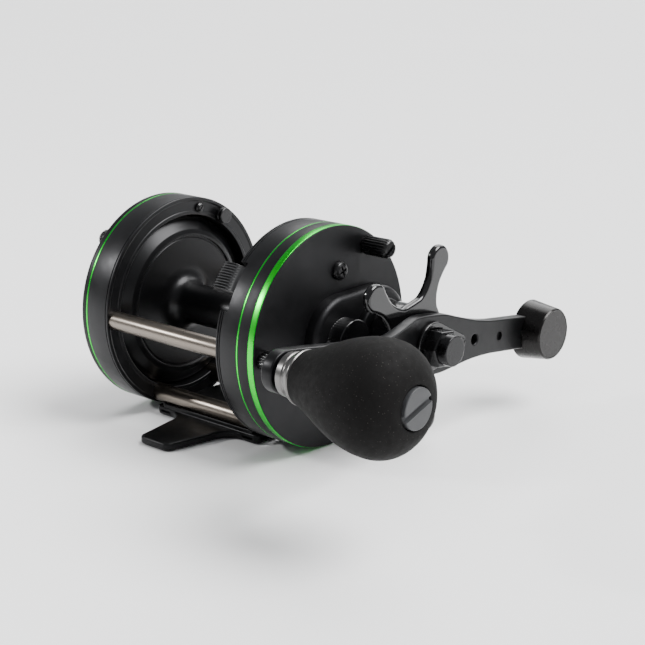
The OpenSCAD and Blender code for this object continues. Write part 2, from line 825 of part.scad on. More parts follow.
// ---- star drag wheel ----

module star_arm(a) {
    lobe = 3.5;
    rotate([0, 0, a]) {
        polygon([[7, -5.4], [11, -3.3], [15, -2.3], [19, -2.5], [star_reach, -3.2],
                 [star_reach, 3.2], [19, 2.5], [15, 2.3], [11, 3.3], [7, 5.4]]);
        translate([star_reach, 0]) circle(lobe);
    }
}

module star_wheel() color([0.03, 0.03, 0.03]) {
    difference() {
        union() {
            bar(collar_x + 0.5, face_x + 7.8, 7.2, drive_y, drive_z);
            bar(face_x + 7.8, star_x + 0.1, 8.9, drive_y, drive_z);
            slab(star_x, star_x + star_t)
                translate([drive_y, drive_z]) {
                    circle(8.9);
                    for (i = [0 : star_arms - 1]) star_arm(star_a0 + i * 360 / star_arms);
                }
        }
        bar(collar_x, star_x + 5, 2.95 + run, drive_y, drive_z);
        bar(collar_x, collar_x + 1.3, 5.8, drive_y, drive_z);
    }
}

// ---- handle ----

// Everything on the arm is drawn level, with the shaft at [0, 0], then tilted
module on_arm() {
    translate([0, drive_y, axis_h + drive_z]) rotate([handle_a, 0, 0]) children();
}

module arm_bar(x0, x1, r, along) {
    on_arm() translate([x0, along, 0]) rotate([0, 90, 0]) cylinder(h = x1 - x0, r = r);
}

module arm_outline(grow = 0) {
    // half widths, the same way out to both sides of the shaft
    shape = [[0, 7.5], [5, 7.3], [9, 6.6], [13, 5.8], [18, 4.95], [24, 4.4], [30, arm_end_r]];
    n = len(shape) - 1;
    side = concat(
        [[-knob_reach + 6, arm_knob_r + grow]],
        [for (i = [n : -1 : 1]) [-shape[i][0], shape[i][1] + grow]],
        [for (i = [0 : n]) [shape[i][0], shape[i][1] + grow]]
    );
    polygon(concat(
        arc([-knob_reach, 0], arm_knob_r + grow, 268, 92, 24),
        side,
        arc([weight_reach, 0], arm_end_r + grow, 88, -88, 24),
        [for (p = reversed(side)) [p[0], -p[1]]]
    ));
}

// The arm from its edge: flat at the shaft, then bent outward towards the knob
module arm_profile() {
    lean = arm_t * tan(atan2(arm_bend, bend_start - bend_end) / 2);
    knob_side = -knob_reach - 2 * arm_knob_r;
    weight_side = weight_reach + 2 * arm_end_r;
    polygon([
        [arm_x, weight_side], [arm_x, bend_start], [arm_x + arm_bend, bend_end],
        [arm_x + arm_bend, knob_side], [knob_base, knob_side], [knob_base, bend_end + lean],
        [arm_out, bend_start + lean], [arm_out, weight_side]
    ]);
}

module handle_arm() color([0.05, 0.05, 0.055]) {
    difference() {
        on_arm() intersection() {
            translate([arm_x - cut, 0, 0]) rotate([90, 0, 90])
                linear_extrude(arm_t + arm_bend + 2 * cut) arm_outline();
            linear_extrude(20, center = true) arm_profile();
        }
        flatted(arm_x - cut, arm_out + cut, 2.9 + slip, 2.2 + slip);
        arm_bar(arm_x, knob_base + cut, spindle_r + slip, -knob_reach);
        arm_bar(arm_x - cut, arm_out + cut, 1.3, hole_near);
        arm_bar(arm_out - 0.8, arm_out + cut, 1.2, hole_far);
        arm_bar(arm_x - cut, arm_out + cut, 0.8 + slip, lock_screw_at);
        arm_bar(arm_x - cut, arm_out + cut, 1.5 + slip, weight_reach);
    }
}

module handle_nut() color([0.04, 0.04, 0.04]) {
    difference() {
        union() {
            on_arm() translate([arm_out + slip, 0, 0]) rotate([0, 90, 0])
                cylinder(h = nut_h, r = 8.6 / 2 / cos(30), $fn = 6);
            bar(arm_out + nut_h, nut_end - 0.4, 3.8, drive_y, drive_z);
            taper(nut_end - 0.4, nut_end, 3.8, 3.4, drive_y, drive_z);
        }
        bar(arm_out - cut, nut_end - 1.5, stub_r + slip, drive_y, drive_z);
    }
}

module nut_lock_plate() color([0.06, 0.06, 0.06]) {
    difference() {
        on_arm() translate([arm_out + slip, 0, 0]) rotate([90, 0, 90]) linear_extrude(1)
            link_outline([0, 0], 6, [lock_screw_at, 0], 2.2);
        on_arm() translate([arm_out - cut, 0, 0]) rotate([0, 90, 0])
            cylinder(h = 5, r = 8.7 / 2 / cos(30), $fn = 6);
        arm_bar(arm_out - cut, arm_out + 3, 0.8 + slip, lock_screw_at);
    }
}

module lock_plate_screw() color([0.5, 0.5, 0.52]) {
    arm_bar(arm_x + 0.5, arm_out + 1.1, 0.8, lock_screw_at);
    difference() {
        arm_bar(arm_out + 1 + 2 * slip, arm_out + 1.7, 1.5, lock_screw_at);
        on_arm() translate([arm_out + 1.4, lock_screw_at - 2, -0.2]) cube([1, 4, 0.4]);
    }
}

module counterbalance() color([0.06, 0.06, 0.065]) {
    back_r = 7.9;
    front_r = 6.75;
    on_arm() difference() {
        union() {
            translate([arm_x, weight_reach, 0]) rotate([0, 90, 0])
                cylinder(h = 7.9, r1 = back_r, r2 = front_r);
            translate([arm_x + 7.9, weight_reach, 0]) rotate([0, 90, 0])
                cylinder(h = 0.3, r1 = front_r, r2 = front_r - 0.3);
        }
        // slot for the end of the arm
        translate([arm_x - cut, 0, 0]) rotate([90, 0, 90])
            linear_extrude(arm_t + slip + cut) arm_outline(slip);
        translate([arm_x, weight_reach, 0]) rotate([0, 90, 0]) cylinder(h = 6, r = 1.5 + slip);
    }
}

module counterbalance_screw() color([0.5, 0.5, 0.52]) {
    difference() {
        arm_bar(arm_x - 0.9, arm_x - slip, 2.8, weight_reach);
        on_arm() translate([arm_x - 1.5, weight_reach - 3, -0.3]) cube([1, 6, 0.6]);
    }
    arm_bar(arm_x - 0.1, arm_x + 5.8, 1.5, weight_reach);
}

// ---- knob ----

module knob_spindle() color([0.3, 0.3, 0.31]) {
    head_x = arm_x + arm_bend;
    difference() {
        union() {
            bar(head_x - 0.6, knob_end - 3.2, spindle_r, knob_y, knob_z);
            bar(head_x - 0.6, head_x - slip, 3, knob_y, knob_z);
            bar(knob_base + slip, knob_base + 0.8, 3.8, knob_y, knob_z);
        }
        bar(knob_end - 7, knob_end, 1 + slip, knob_y, knob_z);
    }
}

module knob_bushings() color([0.72, 0.55, 0.3]) {
    for (x = [knob_base + 1.2, knob_end - 8])
        tube(x, x + 4, 3, spindle_r + run, knob_y, knob_z);
}

module knob_ferrule() color([0.7, 0.7, 0.7]) {
    x = knob_base + 1;
    turned([
        [3 + slip, x], [4.6, x], [4.95, x + 0.35], [5.1, x + 1.9], [4.9, x + 2.2], [5.4, x + 2.8],
        [ferrule_r, grip_x - 0.6], [ferrule_r, grip_x], [3 + slip, grip_x]
    ], knob_y, knob_z);
}

// Outer radius of the grip: a swelling neck, then a round end
function grip_r(x) =
    let (swell_x = knob_end - 9.6, t = (x - grip_x) / (swell_x - grip_x), end_len = 10.2)
    x < swell_x
        ? ferrule_r + (knob_r - ferrule_r) * pow(sin(90 * t), 1.3)
        : knob_r * sqrt(max(0.02, 1 - pow((x - swell_x) / end_len, 2)));

module knob_grip() color([0.06, 0.055, 0.05]) {
    steps = 24;
    last = knob_end - 0.6;
    turned(concat(
        [[3.2, grip_x + slip]],
        [
            for (i = [0 : steps])
                let (x = grip_x + slip + (last - grip_x - slip) * i / steps)
                [grip_r(x), x]
        ],
        [[4.5 + slip, last], [4.5 + slip, knob_end - 2.8], [3.2, knob_end - 2.8]]
    ), knob_y, knob_z);
}

module knob_end_cap() color([0.25, 0.25, 0.25]) {
    difference() {
        union() {
            bar(knob_end - 2.7, knob_end - 0.3, 4.45, knob_y, knob_z);
            taper(knob_end - 0.3, knob_end, 4.45, 4.1, knob_y, knob_z);
        }
        translate([knob_end - 0.9, knob_y, axis_h + knob_z]) rotate([18, 0, 0])
            translate([0, -6, -0.68]) cube([2, 12, 1.36]);
    }
    bar(knob_end - 6.8, knob_end - 2.7, 1, knob_y, knob_z);
}

// ---- spool tension ----

module tension_cap() color([0.06, 0.06, 0.065]) {
    difference() {
        union() {
            bar(face_x + 3.3, face_x + 7.2, cap_r);
            taper(face_x + 7.2, face_x + 7.6, cap_r, cap_r - 0.4);
        }
        bar(face_x + 2, face_x + 6.5, 4.6 + run);
        for (i = [0 : 23])
            translate([face_x + 3, 0, axis_h]) rotate([i * 15, 0, 0])
                translate([0, cap_r + 0.15, 0]) rotate([0, 90, 0]) cylinder(h = 3.2, r = 0.35);
    }
}

module tension_shim() color([0.75, 0.5, 0.25]) bar(face_x + 5.95, face_x + 6.4, 3.3);

left_ring();
right_ring();
rear_pillar();
front_pillar();
lower_rear_pillar();
lower_front_pillar();
foot();
foot_screws();
ring_stud();
ring_screw();
left_side_plate();
left_pinstripe();
left_thumbscrews();
left_bearing();
brake_drum();
right_side_plate();
right_pinstripe();
accent_band();
right_thumbscrews();
cover_screws();
pillar_screws();
bridge_plate();
drive_bushing();
drive_bearing();
right_bearing();
yoke_springs();
clutch_lever();
clutch_thumb_pad();
yoke();
pinion_gear();
spool();
spool_shaft();
drive_pin();
brake_hub();
front_brake_block();
rear_brake_block();
main_gear();
fibre_drag_washers();
metal_drag_washers();
ratchet_wheel();
drive_shaft();
drag_sleeve();
spring_washers();
star_wheel();
handle_arm();
handle_nut();
nut_lock_plate();
lock_plate_screw();
counterbalance();
counterbalance_screw();
knob_spindle();
knob_bushings();
knob_ferrule();
knob_grip();
knob_end_cap();
tension_cap();
tension_shim();
anti_reverse_pawl();
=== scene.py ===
# Trolling reel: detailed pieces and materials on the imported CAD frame.
# Lengths are in millimetres until they become vertices; X runs along the spool axis.
from math import acos, atan2, cos, hypot, pi, radians, sin, tan

import bmesh
import bpy
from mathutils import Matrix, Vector


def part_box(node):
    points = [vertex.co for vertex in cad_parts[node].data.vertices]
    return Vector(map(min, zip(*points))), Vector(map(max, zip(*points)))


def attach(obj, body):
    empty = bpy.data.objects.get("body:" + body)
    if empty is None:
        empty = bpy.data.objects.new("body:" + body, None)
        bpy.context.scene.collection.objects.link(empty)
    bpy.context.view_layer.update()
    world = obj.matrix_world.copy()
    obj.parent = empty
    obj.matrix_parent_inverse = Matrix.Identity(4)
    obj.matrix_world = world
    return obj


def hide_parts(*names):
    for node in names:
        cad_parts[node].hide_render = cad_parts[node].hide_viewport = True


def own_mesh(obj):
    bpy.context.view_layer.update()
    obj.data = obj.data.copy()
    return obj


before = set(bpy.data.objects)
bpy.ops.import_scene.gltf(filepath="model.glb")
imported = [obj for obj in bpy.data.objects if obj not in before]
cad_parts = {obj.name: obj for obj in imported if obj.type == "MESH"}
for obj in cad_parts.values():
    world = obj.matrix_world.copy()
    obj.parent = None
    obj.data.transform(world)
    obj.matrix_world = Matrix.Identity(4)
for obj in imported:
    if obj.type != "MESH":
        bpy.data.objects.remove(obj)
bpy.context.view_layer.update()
MM = 0.001


# ---------------------------------------------------------------- where the CAD says things are
def span(node):
    """(x0, x1, centre y, centre z, radius) of a CAD node, in millimetres."""
    lo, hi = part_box(node)
    lo, hi = lo / MM, hi / MM
    return lo.x, hi.x, (lo.y + hi.y) / 2, (lo.z + hi.z) / 2, (hi.z - lo.z) / 2


L0, L1, _, AXIS_Z, R = span("left_ring")
R0, R1, _, _, _ = span("right_ring")
LP0, _, _, _, _ = span("left_side_plate")
BAND0, BAND1 = span("accent_band")[:2]
FACE_LIP = 0.27                # how far the right cover stands out past the green band
FACE = BAND1 + FACE_LIP
DRIVE_Y, DRIVE_Z = span("drag_sleeve")[2:4]
KNOB_Y, KNOB_Z = span("knob_grip")[2:4]
CAP0, CAP1, _, _, CAP_R = span("tension_cap")
PILLAR_R = span("rear_pillar")[4]
PITCH = -span("rear_pillar")[2]
FLANGE_R = span("spool")[4]
ARM0, ARM_END = span("handle_arm")[:2]
ARM1 = span("handle_nut")[0] - 0.02
NUT0, NUT1 = span("handle_nut")[:2]
STAR1 = span("star_wheel")[1]
GRIP0, GRIP1, _, _, GRIP_R = span("knob_grip")
FERRULE_R = span("knob_ferrule")[4]
BW_Y, BW_Z = span("counterbalance_screw")[2:4]
BAL0, BAL1, _, _, BAL_R = span("counterbalance")
RING_BORE = FLANGE_R + 0.5
AXIS = (0.0, AXIS_Z)
DRIVE = (DRIVE_Y, DRIVE_Z)
KNOB = (KNOB_Y, KNOB_Z)
TILT = atan2(BW_Z - DRIVE_Z, BW_Y - DRIVE_Y)
KNOB_REACH = hypot(KNOB_Y - DRIVE_Y, KNOB_Z - DRIVE_Z)
WEIGHT_REACH = hypot(BW_Y - DRIVE_Y, BW_Z - DRIVE_Z)
LOWER_A = 24.8


def polar(r, a, c=(0.0, 0.0)):
    a = radians(a)
    return (c[0] + r * cos(a), c[1] + r * sin(a))


# ---------------------------------------------------------------- mesh building
def rounded(points, radius, steps=4, closed=True):
    """points with each corner rounded; a point may carry its own radius as a third value."""
    out, n = [], len(points)
    for i, p in enumerate(points):
        r = p[2] if len(p) > 2 else radius
        here = Vector(p[:2])
        if r <= 0 or (not closed and i in (0, n - 1)):
            out.append(tuple(here))
            continue
        back = Vector(points[i - 1][:2]) - here
        ahead = Vector(points[(i + 1) % n][:2]) - here
        angle = back.angle(ahead, pi)
        if angle > pi - 0.05:
            out.append(tuple(here))
            continue
        reach = min(r / tan(angle / 2), 0.46 * back.length, 0.46 * ahead.length)
        a, b = here + back.normalized() * reach, here + ahead.normalized() * reach
        for k in range(steps + 1):
            t = k / steps
            out.append(tuple(a * (1 - t) ** 2 + here * 2 * t * (1 - t) + b * t * t))
    return out


def flowing(points, steps=6, closed=True):
    """A smooth curve through the points."""
    n, out = len(points), []
    for i in range(n if closed else n - 1):
        pick = [(i + k) % n if closed else max(0, min(n - 1, i + k)) for k in (-1, 0, 1, 2)]
        p = [Vector(points[k][:2]) for k in pick]
        for k in range(steps):
            t = k / steps
            out.append(tuple(0.5 * (2 * p[1] + (p[2] - p[0]) * t
                                    + (2 * p[0] - 5 * p[1] + 4 * p[2] - p[3]) * t * t
                                    + (3 * p[1] - p[0] - 3 * p[2] + p[3]) * t ** 3)))
    if not closed:
        out.append(tuple(points[-1][:2]))
    return out


def circle(r, c=(0.0, 0.0), n=72):
    return [polar(r, 360 * i / n, c) for i in range(n)]


def turn(profile, c=AXIS, closed=False, segs=144, shape=None, phase=0.0):
    """A profile of (radius, x) turned round an axis along X; shape(r, x, angle) may vary the radius."""
    verts, rows = [], []
    for r, x in profile:
        if r < 1e-6:
            rows.append([len(verts)] * segs)
            verts.append((x, c[0], c[1]))
            continue
        row = []
        for j in range(segs):
            a = 2 * pi * j / segs + phase
            q = shape(r, x, a) if shape else r
            row.append(len(verts))
            verts.append((x, c[0] + q * cos(a), c[1] + q * sin(a)))
        rows.append(row)
    faces = []
    for i in range(len(rows) if closed else len(rows) - 1):
        low, high = rows[i], rows[(i + 1) % len(rows)]
        for j in range(segs):
            k = (j + 1) % segs
            quad = list(dict.fromkeys([low[j], low[k], high[k], high[j]]))
            if len(quad) > 2:
                faces.append(quad)
    return verts, faces


def slab(outlines, x0, x1, bevel=0.2, steps=3):
    """Closed (y, z) outlines, outside first and then holes, extruded along X with rounded edges."""
    data = bpy.data.curves.new("outline", "CURVE")
    data.dimensions, data.fill_mode = "2D", "BOTH"
    data.extrude = (x1 - x0) / 2 - bevel
    data.bevel_depth, data.bevel_resolution, data.offset = bevel, steps, -bevel
    for points in outlines:
        line = data.splines.new("POLY")
        line.points.add(len(points) - 1)
        for point, (y, z) in zip(line.points, points):
            point.co = (y, z, 0, 1)
        line.use_cyclic_u = True
    thing = bpy.data.objects.new("outline", data)
    bpy.context.scene.collection.objects.link(thing)
    mesh = bpy.data.meshes.new_from_object(thing.evaluated_get(bpy.context.evaluated_depsgraph_get()))
    middle = (x0 + x1) / 2
    verts = [(v.co.z + middle, v.co.x, v.co.y) for v in mesh.vertices]
    faces = [list(p.vertices) for p in mesh.polygons]
    bpy.data.objects.remove(thing)
    bpy.data.meshes.remove(mesh)
    bpy.data.curves.remove(data)
    return verts, faces


def block(lo, hi, spin=0.0, about=(0.0, 0.0)):
    """A box for cutting, turned by spin degrees about an axis along X."""
    xs, ys, zs = zip(lo, hi)
    verts = []
    for x in xs:
        for y in ys:
            for z in zs:
                a = radians(spin)
                verts.append((x, about[0] + y * cos(a) - z * sin(a), about[1] + y * sin(a) + z * cos(a)))
    return verts, [[0, 1, 3, 2], [4, 6, 7, 5], [0, 4, 5, 1], [2, 3, 7, 6], [0, 2, 6, 4], [1, 5, 7, 3]]


def mesh_of(name, shapes):
    bm = bmesh.new()
    for verts, faces in shapes:
        made = [bm.verts.new(Vector(v) * MM) for v in verts]
        for f in faces:
            try:
                bm.faces.new([made[i] for i in f])
            except ValueError:
                pass
    bmesh.ops.remove_doubles(bm, verts=bm.verts, dist=1e-7)
    bmesh.ops.recalc_face_normals(bm, faces=bm.faces)
    mesh = bpy.data.meshes.new(name)
    bm.to_mesh(mesh)
    bm.free()
    return mesh


def shade(mesh, sharp=32):
    """Smooth shading, broken at sharp edges and where a flat end face meets its rounding."""
    bm = bmesh.new()
    bm.from_mesh(mesh)
    for f in bm.faces:
        f.smooth = True
    for e in bm.edges:
        if len(e.link_faces) == 2:
            flat = [abs(f.normal.x) > 0.99995 for f in e.link_faces]
            e.smooth = e.calc_face_angle(0) < radians(sharp) and flat[0] == flat[1]
    bm.to_mesh(mesh)
    bm.free()


def piece(name, body, shapes, material, stands_for=(), cuts=(), sharp=32):
    obj = bpy.data.objects.new(name, mesh_of(name, shapes))
    bpy.context.scene.collection.objects.link(obj)
    for i, cutter in enumerate(cuts):
        tool = bpy.data.objects.new("cutter", mesh_of("cutter", [cutter]))
        bpy.context.scene.collection.objects.link(tool)
        mod = obj.modifiers.new("cut", "BOOLEAN")
        mod.operation, mod.object, mod.solver = "DIFFERENCE", tool, "EXACT"
        done = bpy.data.meshes.new_from_object(obj.evaluated_get(bpy.context.evaluated_depsgraph_get()))
        obj.modifiers.clear()
        obj.data = done
        bpy.data.objects.remove(tool)
    obj.data.name = name
    shade(obj.data, sharp)
    obj.data.materials.clear()
    obj.data.materials.append(material)
    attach(obj, body)
    if stands_for:
        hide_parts(*stands_for)
    return obj


# ---------------------------------------------------------------- materials
def surface(name, colour, rough, metallic=0.0, specular=0.5, coat=0.0, coat_rough=0.1,
            mottle=0.1, mottle_size=6.0, rough_spread=0.06, grain=0.35, grain_depth=0.02,
            turned=None, turned_depth=0.0, sheen=0.0, flecks=0.0):
    """A procedural finish. Sizes are in millimetres; turned is the (y, z) axis of lathe marks."""
    mat = bpy.data.materials.new(name)
    mat.use_nodes = True
    nodes, links = mat.node_tree.nodes, mat.node_tree.links
    bsdf = nodes["Principled BSDF"]
    bsdf.inputs["Metallic"].default_value = metallic
    bsdf.inputs["Specular IOR Level"].default_value = specular
    bsdf.inputs["Coat Weight"].default_value = coat
    bsdf.inputs["Coat Roughness"].default_value = coat_rough
    bsdf.inputs["Sheen Weight"].default_value = sheen
    place = nodes.new("ShaderNodeTexCoord").outputs["Object"]

    def noise(size, detail=4.0, vector=None):
        n = nodes.new("ShaderNodeTexNoise")
        n.inputs["Scale"].default_value = 1000.0 / size
        n.inputs["Detail"].default_value = detail
        links.new(vector or place, n.inputs["Vector"])
        return n.outputs["Fac"]

    def ramp(value, low, high):
        m = nodes.new("ShaderNodeMapRange")
        m.inputs["From Min"].default_value, m.inputs["From Max"].default_value = 0.3, 0.7
        m.inputs["To Min"].default_value, m.inputs["To Max"].default_value = low, high
        links.new(value, m.inputs["Value"])
        return m.outputs["Result"]

    blend = nodes.new("ShaderNodeMix")
    blend.data_type = "RGBA"
    blend.inputs["A"].default_value = (*[c * (1 - mottle) for c in colour], 1)
    blend.inputs["B"].default_value = (*[c * (1 + mottle) for c in colour], 1)
    links.new(noise(mottle_size), blend.inputs["Factor"])
    tint = blend.outputs["Result"]
    if flecks:
        spots = nodes.new("ShaderNodeTexVoronoi")
        spots.inputs["Scale"].default_value = 1400.0
        links.new(place, spots.inputs["Vector"])
        few = nodes.new("ShaderNodeMapRange")
        few.inputs["From Min"].default_value, few.inputs["From Max"].default_value = 0.16, 0.05
        few.inputs["To Min"].default_value, few.inputs["To Max"].default_value = 0.0, flecks
        links.new(spots.outputs["Distance"], few.inputs["Value"])
        patchy = nodes.new("ShaderNodeMath")
        patchy.operation = "MULTIPLY"
        links.new(few.outputs["Result"], patchy.inputs[0])
        links.new(ramp(noise(1.6, 2.0), 0.0, 1.0), patchy.inputs[1])
        speck = nodes.new("ShaderNodeMix")
        speck.data_type = "RGBA"
        speck.inputs["B"].default_value = (0.16, 0.15, 0.13, 1)
        links.new(tint, speck.inputs["A"])
        links.new(patchy.outputs["Value"], speck.inputs["Factor"])
        tint = speck.outputs["Result"]
    links.new(tint, bsdf.inputs["Base Color"])
    links.new(ramp(noise(mottle_size * 0.5, 6.0), max(0.02, rough - rough_spread), rough + rough_spread),
              bsdf.inputs["Roughness"])
    height, normal = noise(grain, 3.0), None
    bump = nodes.new("ShaderNodeBump")
    bump.inputs["Strength"].default_value = 0.6
    bump.inputs["Distance"].default_value = grain_depth * MM
    links.new(height, bump.inputs["Height"])
    normal = bump.outputs["Normal"]
    if turned:
        apart = nodes.new("ShaderNodeSeparateXYZ")
        shift = nodes.new("ShaderNodeVectorMath")
        shift.operation = "SUBTRACT"
        shift.inputs[1].default_value = (0, turned[0] * MM, turned[1] * MM)
        links.new(place, shift.inputs[0])
        flat = nodes.new("ShaderNodeVectorMath")
        flat.operation = "MULTIPLY"
        flat.inputs[1].default_value = (0, 1, 1)
        links.new(shift.outputs["Vector"], flat.inputs[0])
        radius = nodes.new("ShaderNodeVectorMath")
        radius.operation = "LENGTH"
        links.new(flat.outputs["Vector"], radius.inputs[0])
        links.new(shift.outputs["Vector"], apart.inputs["Vector"])
        along = nodes.new("ShaderNodeMath")
        links.new(apart.outputs["X"], along.inputs[0])
        links.new(radius.outputs["Value"], along.inputs[1])
        lines = nodes.new("ShaderNodeTexNoise")
        lines.noise_dimensions = "1D"
        lines.inputs["Scale"].default_value = 5200.0
        lines.inputs["Detail"].default_value = 3.0
        links.new(along.outputs["Value"], lines.inputs["W"])
        marks = nodes.new("ShaderNodeBump")
        marks.inputs["Strength"].default_value = 0.7
        marks.inputs["Distance"].default_value = turned_depth * MM
        links.new(lines.outputs["Fac"], marks.inputs["Height"])
        links.new(normal, marks.inputs["Normal"])
        normal = marks.outputs["Normal"]
    links.new(normal, bsdf.inputs["Normal"])
    return mat


black_rim = surface("satin_black_rim", (0.010, 0.010, 0.011), 0.36, 0.7, coat=0.08, coat_rough=0.3,
                    grain=0.25,
                    grain_depth=0.004, turned=AXIS, turned_depth=0.004)
black_face = surface("satin_black_face", (0.0065, 0.0065, 0.0075), 0.42, 0.7, coat=0.03, coat_rough=0.35,
                     grain=0.25, grain_depth=0.006)
black_spool = surface("gloss_black_spool", (0.0055, 0.0055, 0.0062), 0.33, 0.7, coat=0.08, coat_rough=0.25,
                      grain=0.3,
                      grain_depth=0.0005, rough_spread=0.02, turned=AXIS, turned_depth=0.0015)
black_gloss = surface("gloss_black_lacquer", (0.0055, 0.0055, 0.006), 0.16, 0.4, coat=0.4, coat_rough=0.06,
                      grain=1.2, grain_depth=0.004, rough_spread=0.03)
black_arm = surface("satin_black_arm", (0.0070, 0.0070, 0.0077), 0.37, 0.75, coat=0.05, coat_rough=0.25,
                    grain=0.22,
                    grain_depth=0.006)
black_screw = surface("black_oxide_screw", (0.009, 0.009, 0.0096), 0.3, 0.6, coat=0.2, grain=0.2,
                      grain_depth=0.012,
                      rough_spread=0.1)
green = surface("green_anodised", (0.0, 0.62, 0.030), 0.28, 1.0, mottle=0.05,
                rough_spread=0.02, grain=0.2, grain_depth=0.0004, turned=AXIS, turned_depth=0.0006)
pillar_steel = surface("warm_turned_steel", (0.20, 0.175, 0.15), 0.30, 1.0, mottle=0.08, grain=0.3,
                       grain_depth=0.0015, rough_spread=0.03, turned=AXIS, turned_depth=0.004)
ferrule_steel = surface("brushed_ferrule", (0.15, 0.146, 0.142), 0.30, 1.0, mottle=0.08, grain=0.3,
                        grain_depth=0.0006,
                        rough_spread=0.02, turned=KNOB, turned_depth=0.010)
spindle_steel = surface("dark_spindle", (0.030, 0.030, 0.032), 0.33, 0.7, grain=0.3, grain_depth=0.004,
                        turned=KNOB,
                        turned_depth=0.008)
grip_foam = surface("black_eva_foam", (0.0026, 0.0024, 0.0023), 0.72, specular=0.12, mottle=0.28,
                    mottle_size=3.0,
                    grain=0.55, grain_depth=0.05, flecks=0.35)
cap_grey = surface("grey_cap", (0.036, 0.037, 0.039), 0.45, specular=0.35, grain=0.2, grain_depth=0.01)
nut_face = surface("black_nut", (0.008, 0.008, 0.0088), 0.24, 0.75, coat=0.15, coat_rough=0.12, grain=0.3,
                   grain_depth=0.006, turned=DRIVE, turned_depth=0.004)
weight_face = surface("black_weight", (0.010, 0.0092, 0.0090), 0.28, 0.8, coat=0.12, coat_rough=0.16,
                      grain=0.25,
                      grain_depth=0.004, turned=(BW_Y, BW_Z), turned_depth=0.006)
thumb_plastic = surface("dark_thumb_plastic", (0.014, 0.014, 0.015), 0.42, specular=0.5, grain=0.3,
                        grain_depth=0.015)
plain_steel = surface("plain_steel", (0.55, 0.55, 0.57), 0.28, 1.0, grain=0.4, grain_depth=0.006)
spring_steel = surface("spring_steel", (0.42, 0.42, 0.44), 0.30, 1.0, grain=0.15, grain_depth=0.004)
bearing_steel = surface("bearing_steel", (0.66, 0.66, 0.68), 0.14, 1.0, grain=0.5, grain_depth=0.002,
                        mottle=0.04,
                        turned=AXIS, turned_depth=0.003)
drive_steel = surface("ground_drive_steel", (0.58, 0.58, 0.60), 0.22, 1.0, grain=0.4, grain_depth=0.003,
                      turned=DRIVE, turned_depth=0.006)
shaft_steel = surface("ground_shaft_steel", (0.60, 0.60, 0.62), 0.20, 1.0, grain=0.4, grain_depth=0.003,
                      turned=AXIS, turned_depth=0.005)
bronze = surface("gear_bronze", (0.55, 0.36, 0.14), 0.28, 1.0, mottle=0.12, grain=0.3, grain_depth=0.006,
                 turned=DRIVE, turned_depth=0.008)
aluminium = surface("machined_aluminium", (0.56, 0.57, 0.58), 0.34, 1.0, mottle=0.06, grain=0.25,
                    grain_depth=0.006)
drag_fibre = surface("woven_drag_fibre", (0.030, 0.028, 0.026), 0.55, specular=0.4, mottle=0.35,
                     mottle_size=0.8,
                     grain=0.5, grain_depth=0.05)
brake_white = surface("white_brake_plastic", (0.62, 0.61, 0.56), 0.48, specular=0.4, grain=0.4,
                      grain_depth=0.01)

# ---------------------------------------------------------------- rings
GROOVE = 0.3


def ring_profile(inner, outer, groove_at, shell):
    """Section of a frame ring with its inner face at x = inner; shell is (flange, wall) if hollow."""
    s = 1 if outer > inner else -1
    rim = [(RING_BORE, inner, 0.25), (RING_BORE + 0.9, inner, 0.1),
           (RING_BORE + 1.1, inner + s * 0.15, 0.1),
           (R - 1.1, inner + s * 0.15, 0.1), (R - 0.8, inner, 0.12), (R, inner, 0.5)]
    for g in groove_at:
        rim += [(R, inner + s * g, 0.06), (R - GROOVE, inner + s * (g + 0.06), 0.05),
                (R - GROOVE, inner + s * (g + 0.24), 0.05), (R, inner + s * (g + 0.3), 0.06)]
    rim += [(R, outer, 0.12)]
    if shell:
        rim += [(R - shell[1], outer, 0.1), (R - shell[1], inner + s * shell[0], 0.2),
                (RING_BORE, inner + s * shell[0], 0.2)]
    else:
        rim += [(RING_BORE, outer, 0.2)]
    return rounded(rim, 0.15)


THUMB = (133.0, 149.0)
WINDOW = (THUMB[0] - 0.8, THUMB[1] + 9.8)   # degrees, a little more than the thumb pad needs
WINDOW_R = (24.2, 29.5)
WINDOW_STEPS = 12
edge = [WINDOW[0] + k * (WINDOW[1] - WINDOW[0]) / WINDOW_STEPS for k in range(WINDOW_STEPS + 1)]
window = [polar(WINDOW_R[0], a, AXIS) for a in edge] + [polar(WINDOW_R[1], a, AXIS) for a in reversed(edge)]
piece("left_frame_ring", "frame", [turn(ring_profile(L1, L0, (0.55,), None), closed=True, segs=240)],
      black_rim, ("left_ring",))
piece("right_frame_ring", "frame", [turn(ring_profile(R0, R1, (0.55, 1.15), (2.5, 1.6)), closed=True,
                                         segs=240)],
      black_rim, ("right_ring",), cuts=[slab([window], R0 - 1, R0 + 2.51, 0.05)])

# ---------------------------------------------------------------- pinstripes, band and side plates
STRIPE = 0.4
for side, x in (("left", L0 - STRIPE), ("right", R1)):
    stripe = rounded([(R - 0.58, x), (R, x), (R, x + STRIPE), (R - 0.58, x + STRIPE)], 0.05, 2)
    piece(side + "_green_pinstripe", "frame", [turn(stripe, closed=True, segs=240)], green,
          (side + "_pinstripe",))
band = rounded([(R - 0.3, BAND0, 0), (R, BAND0, 0.05), (R, BAND1, 0.1), (R - 0.3, BAND1, 0)], 0.05, 4)
piece("green_accent_band", "frame", [turn(band, closed=True, segs=240)], green, ("accent_band",))

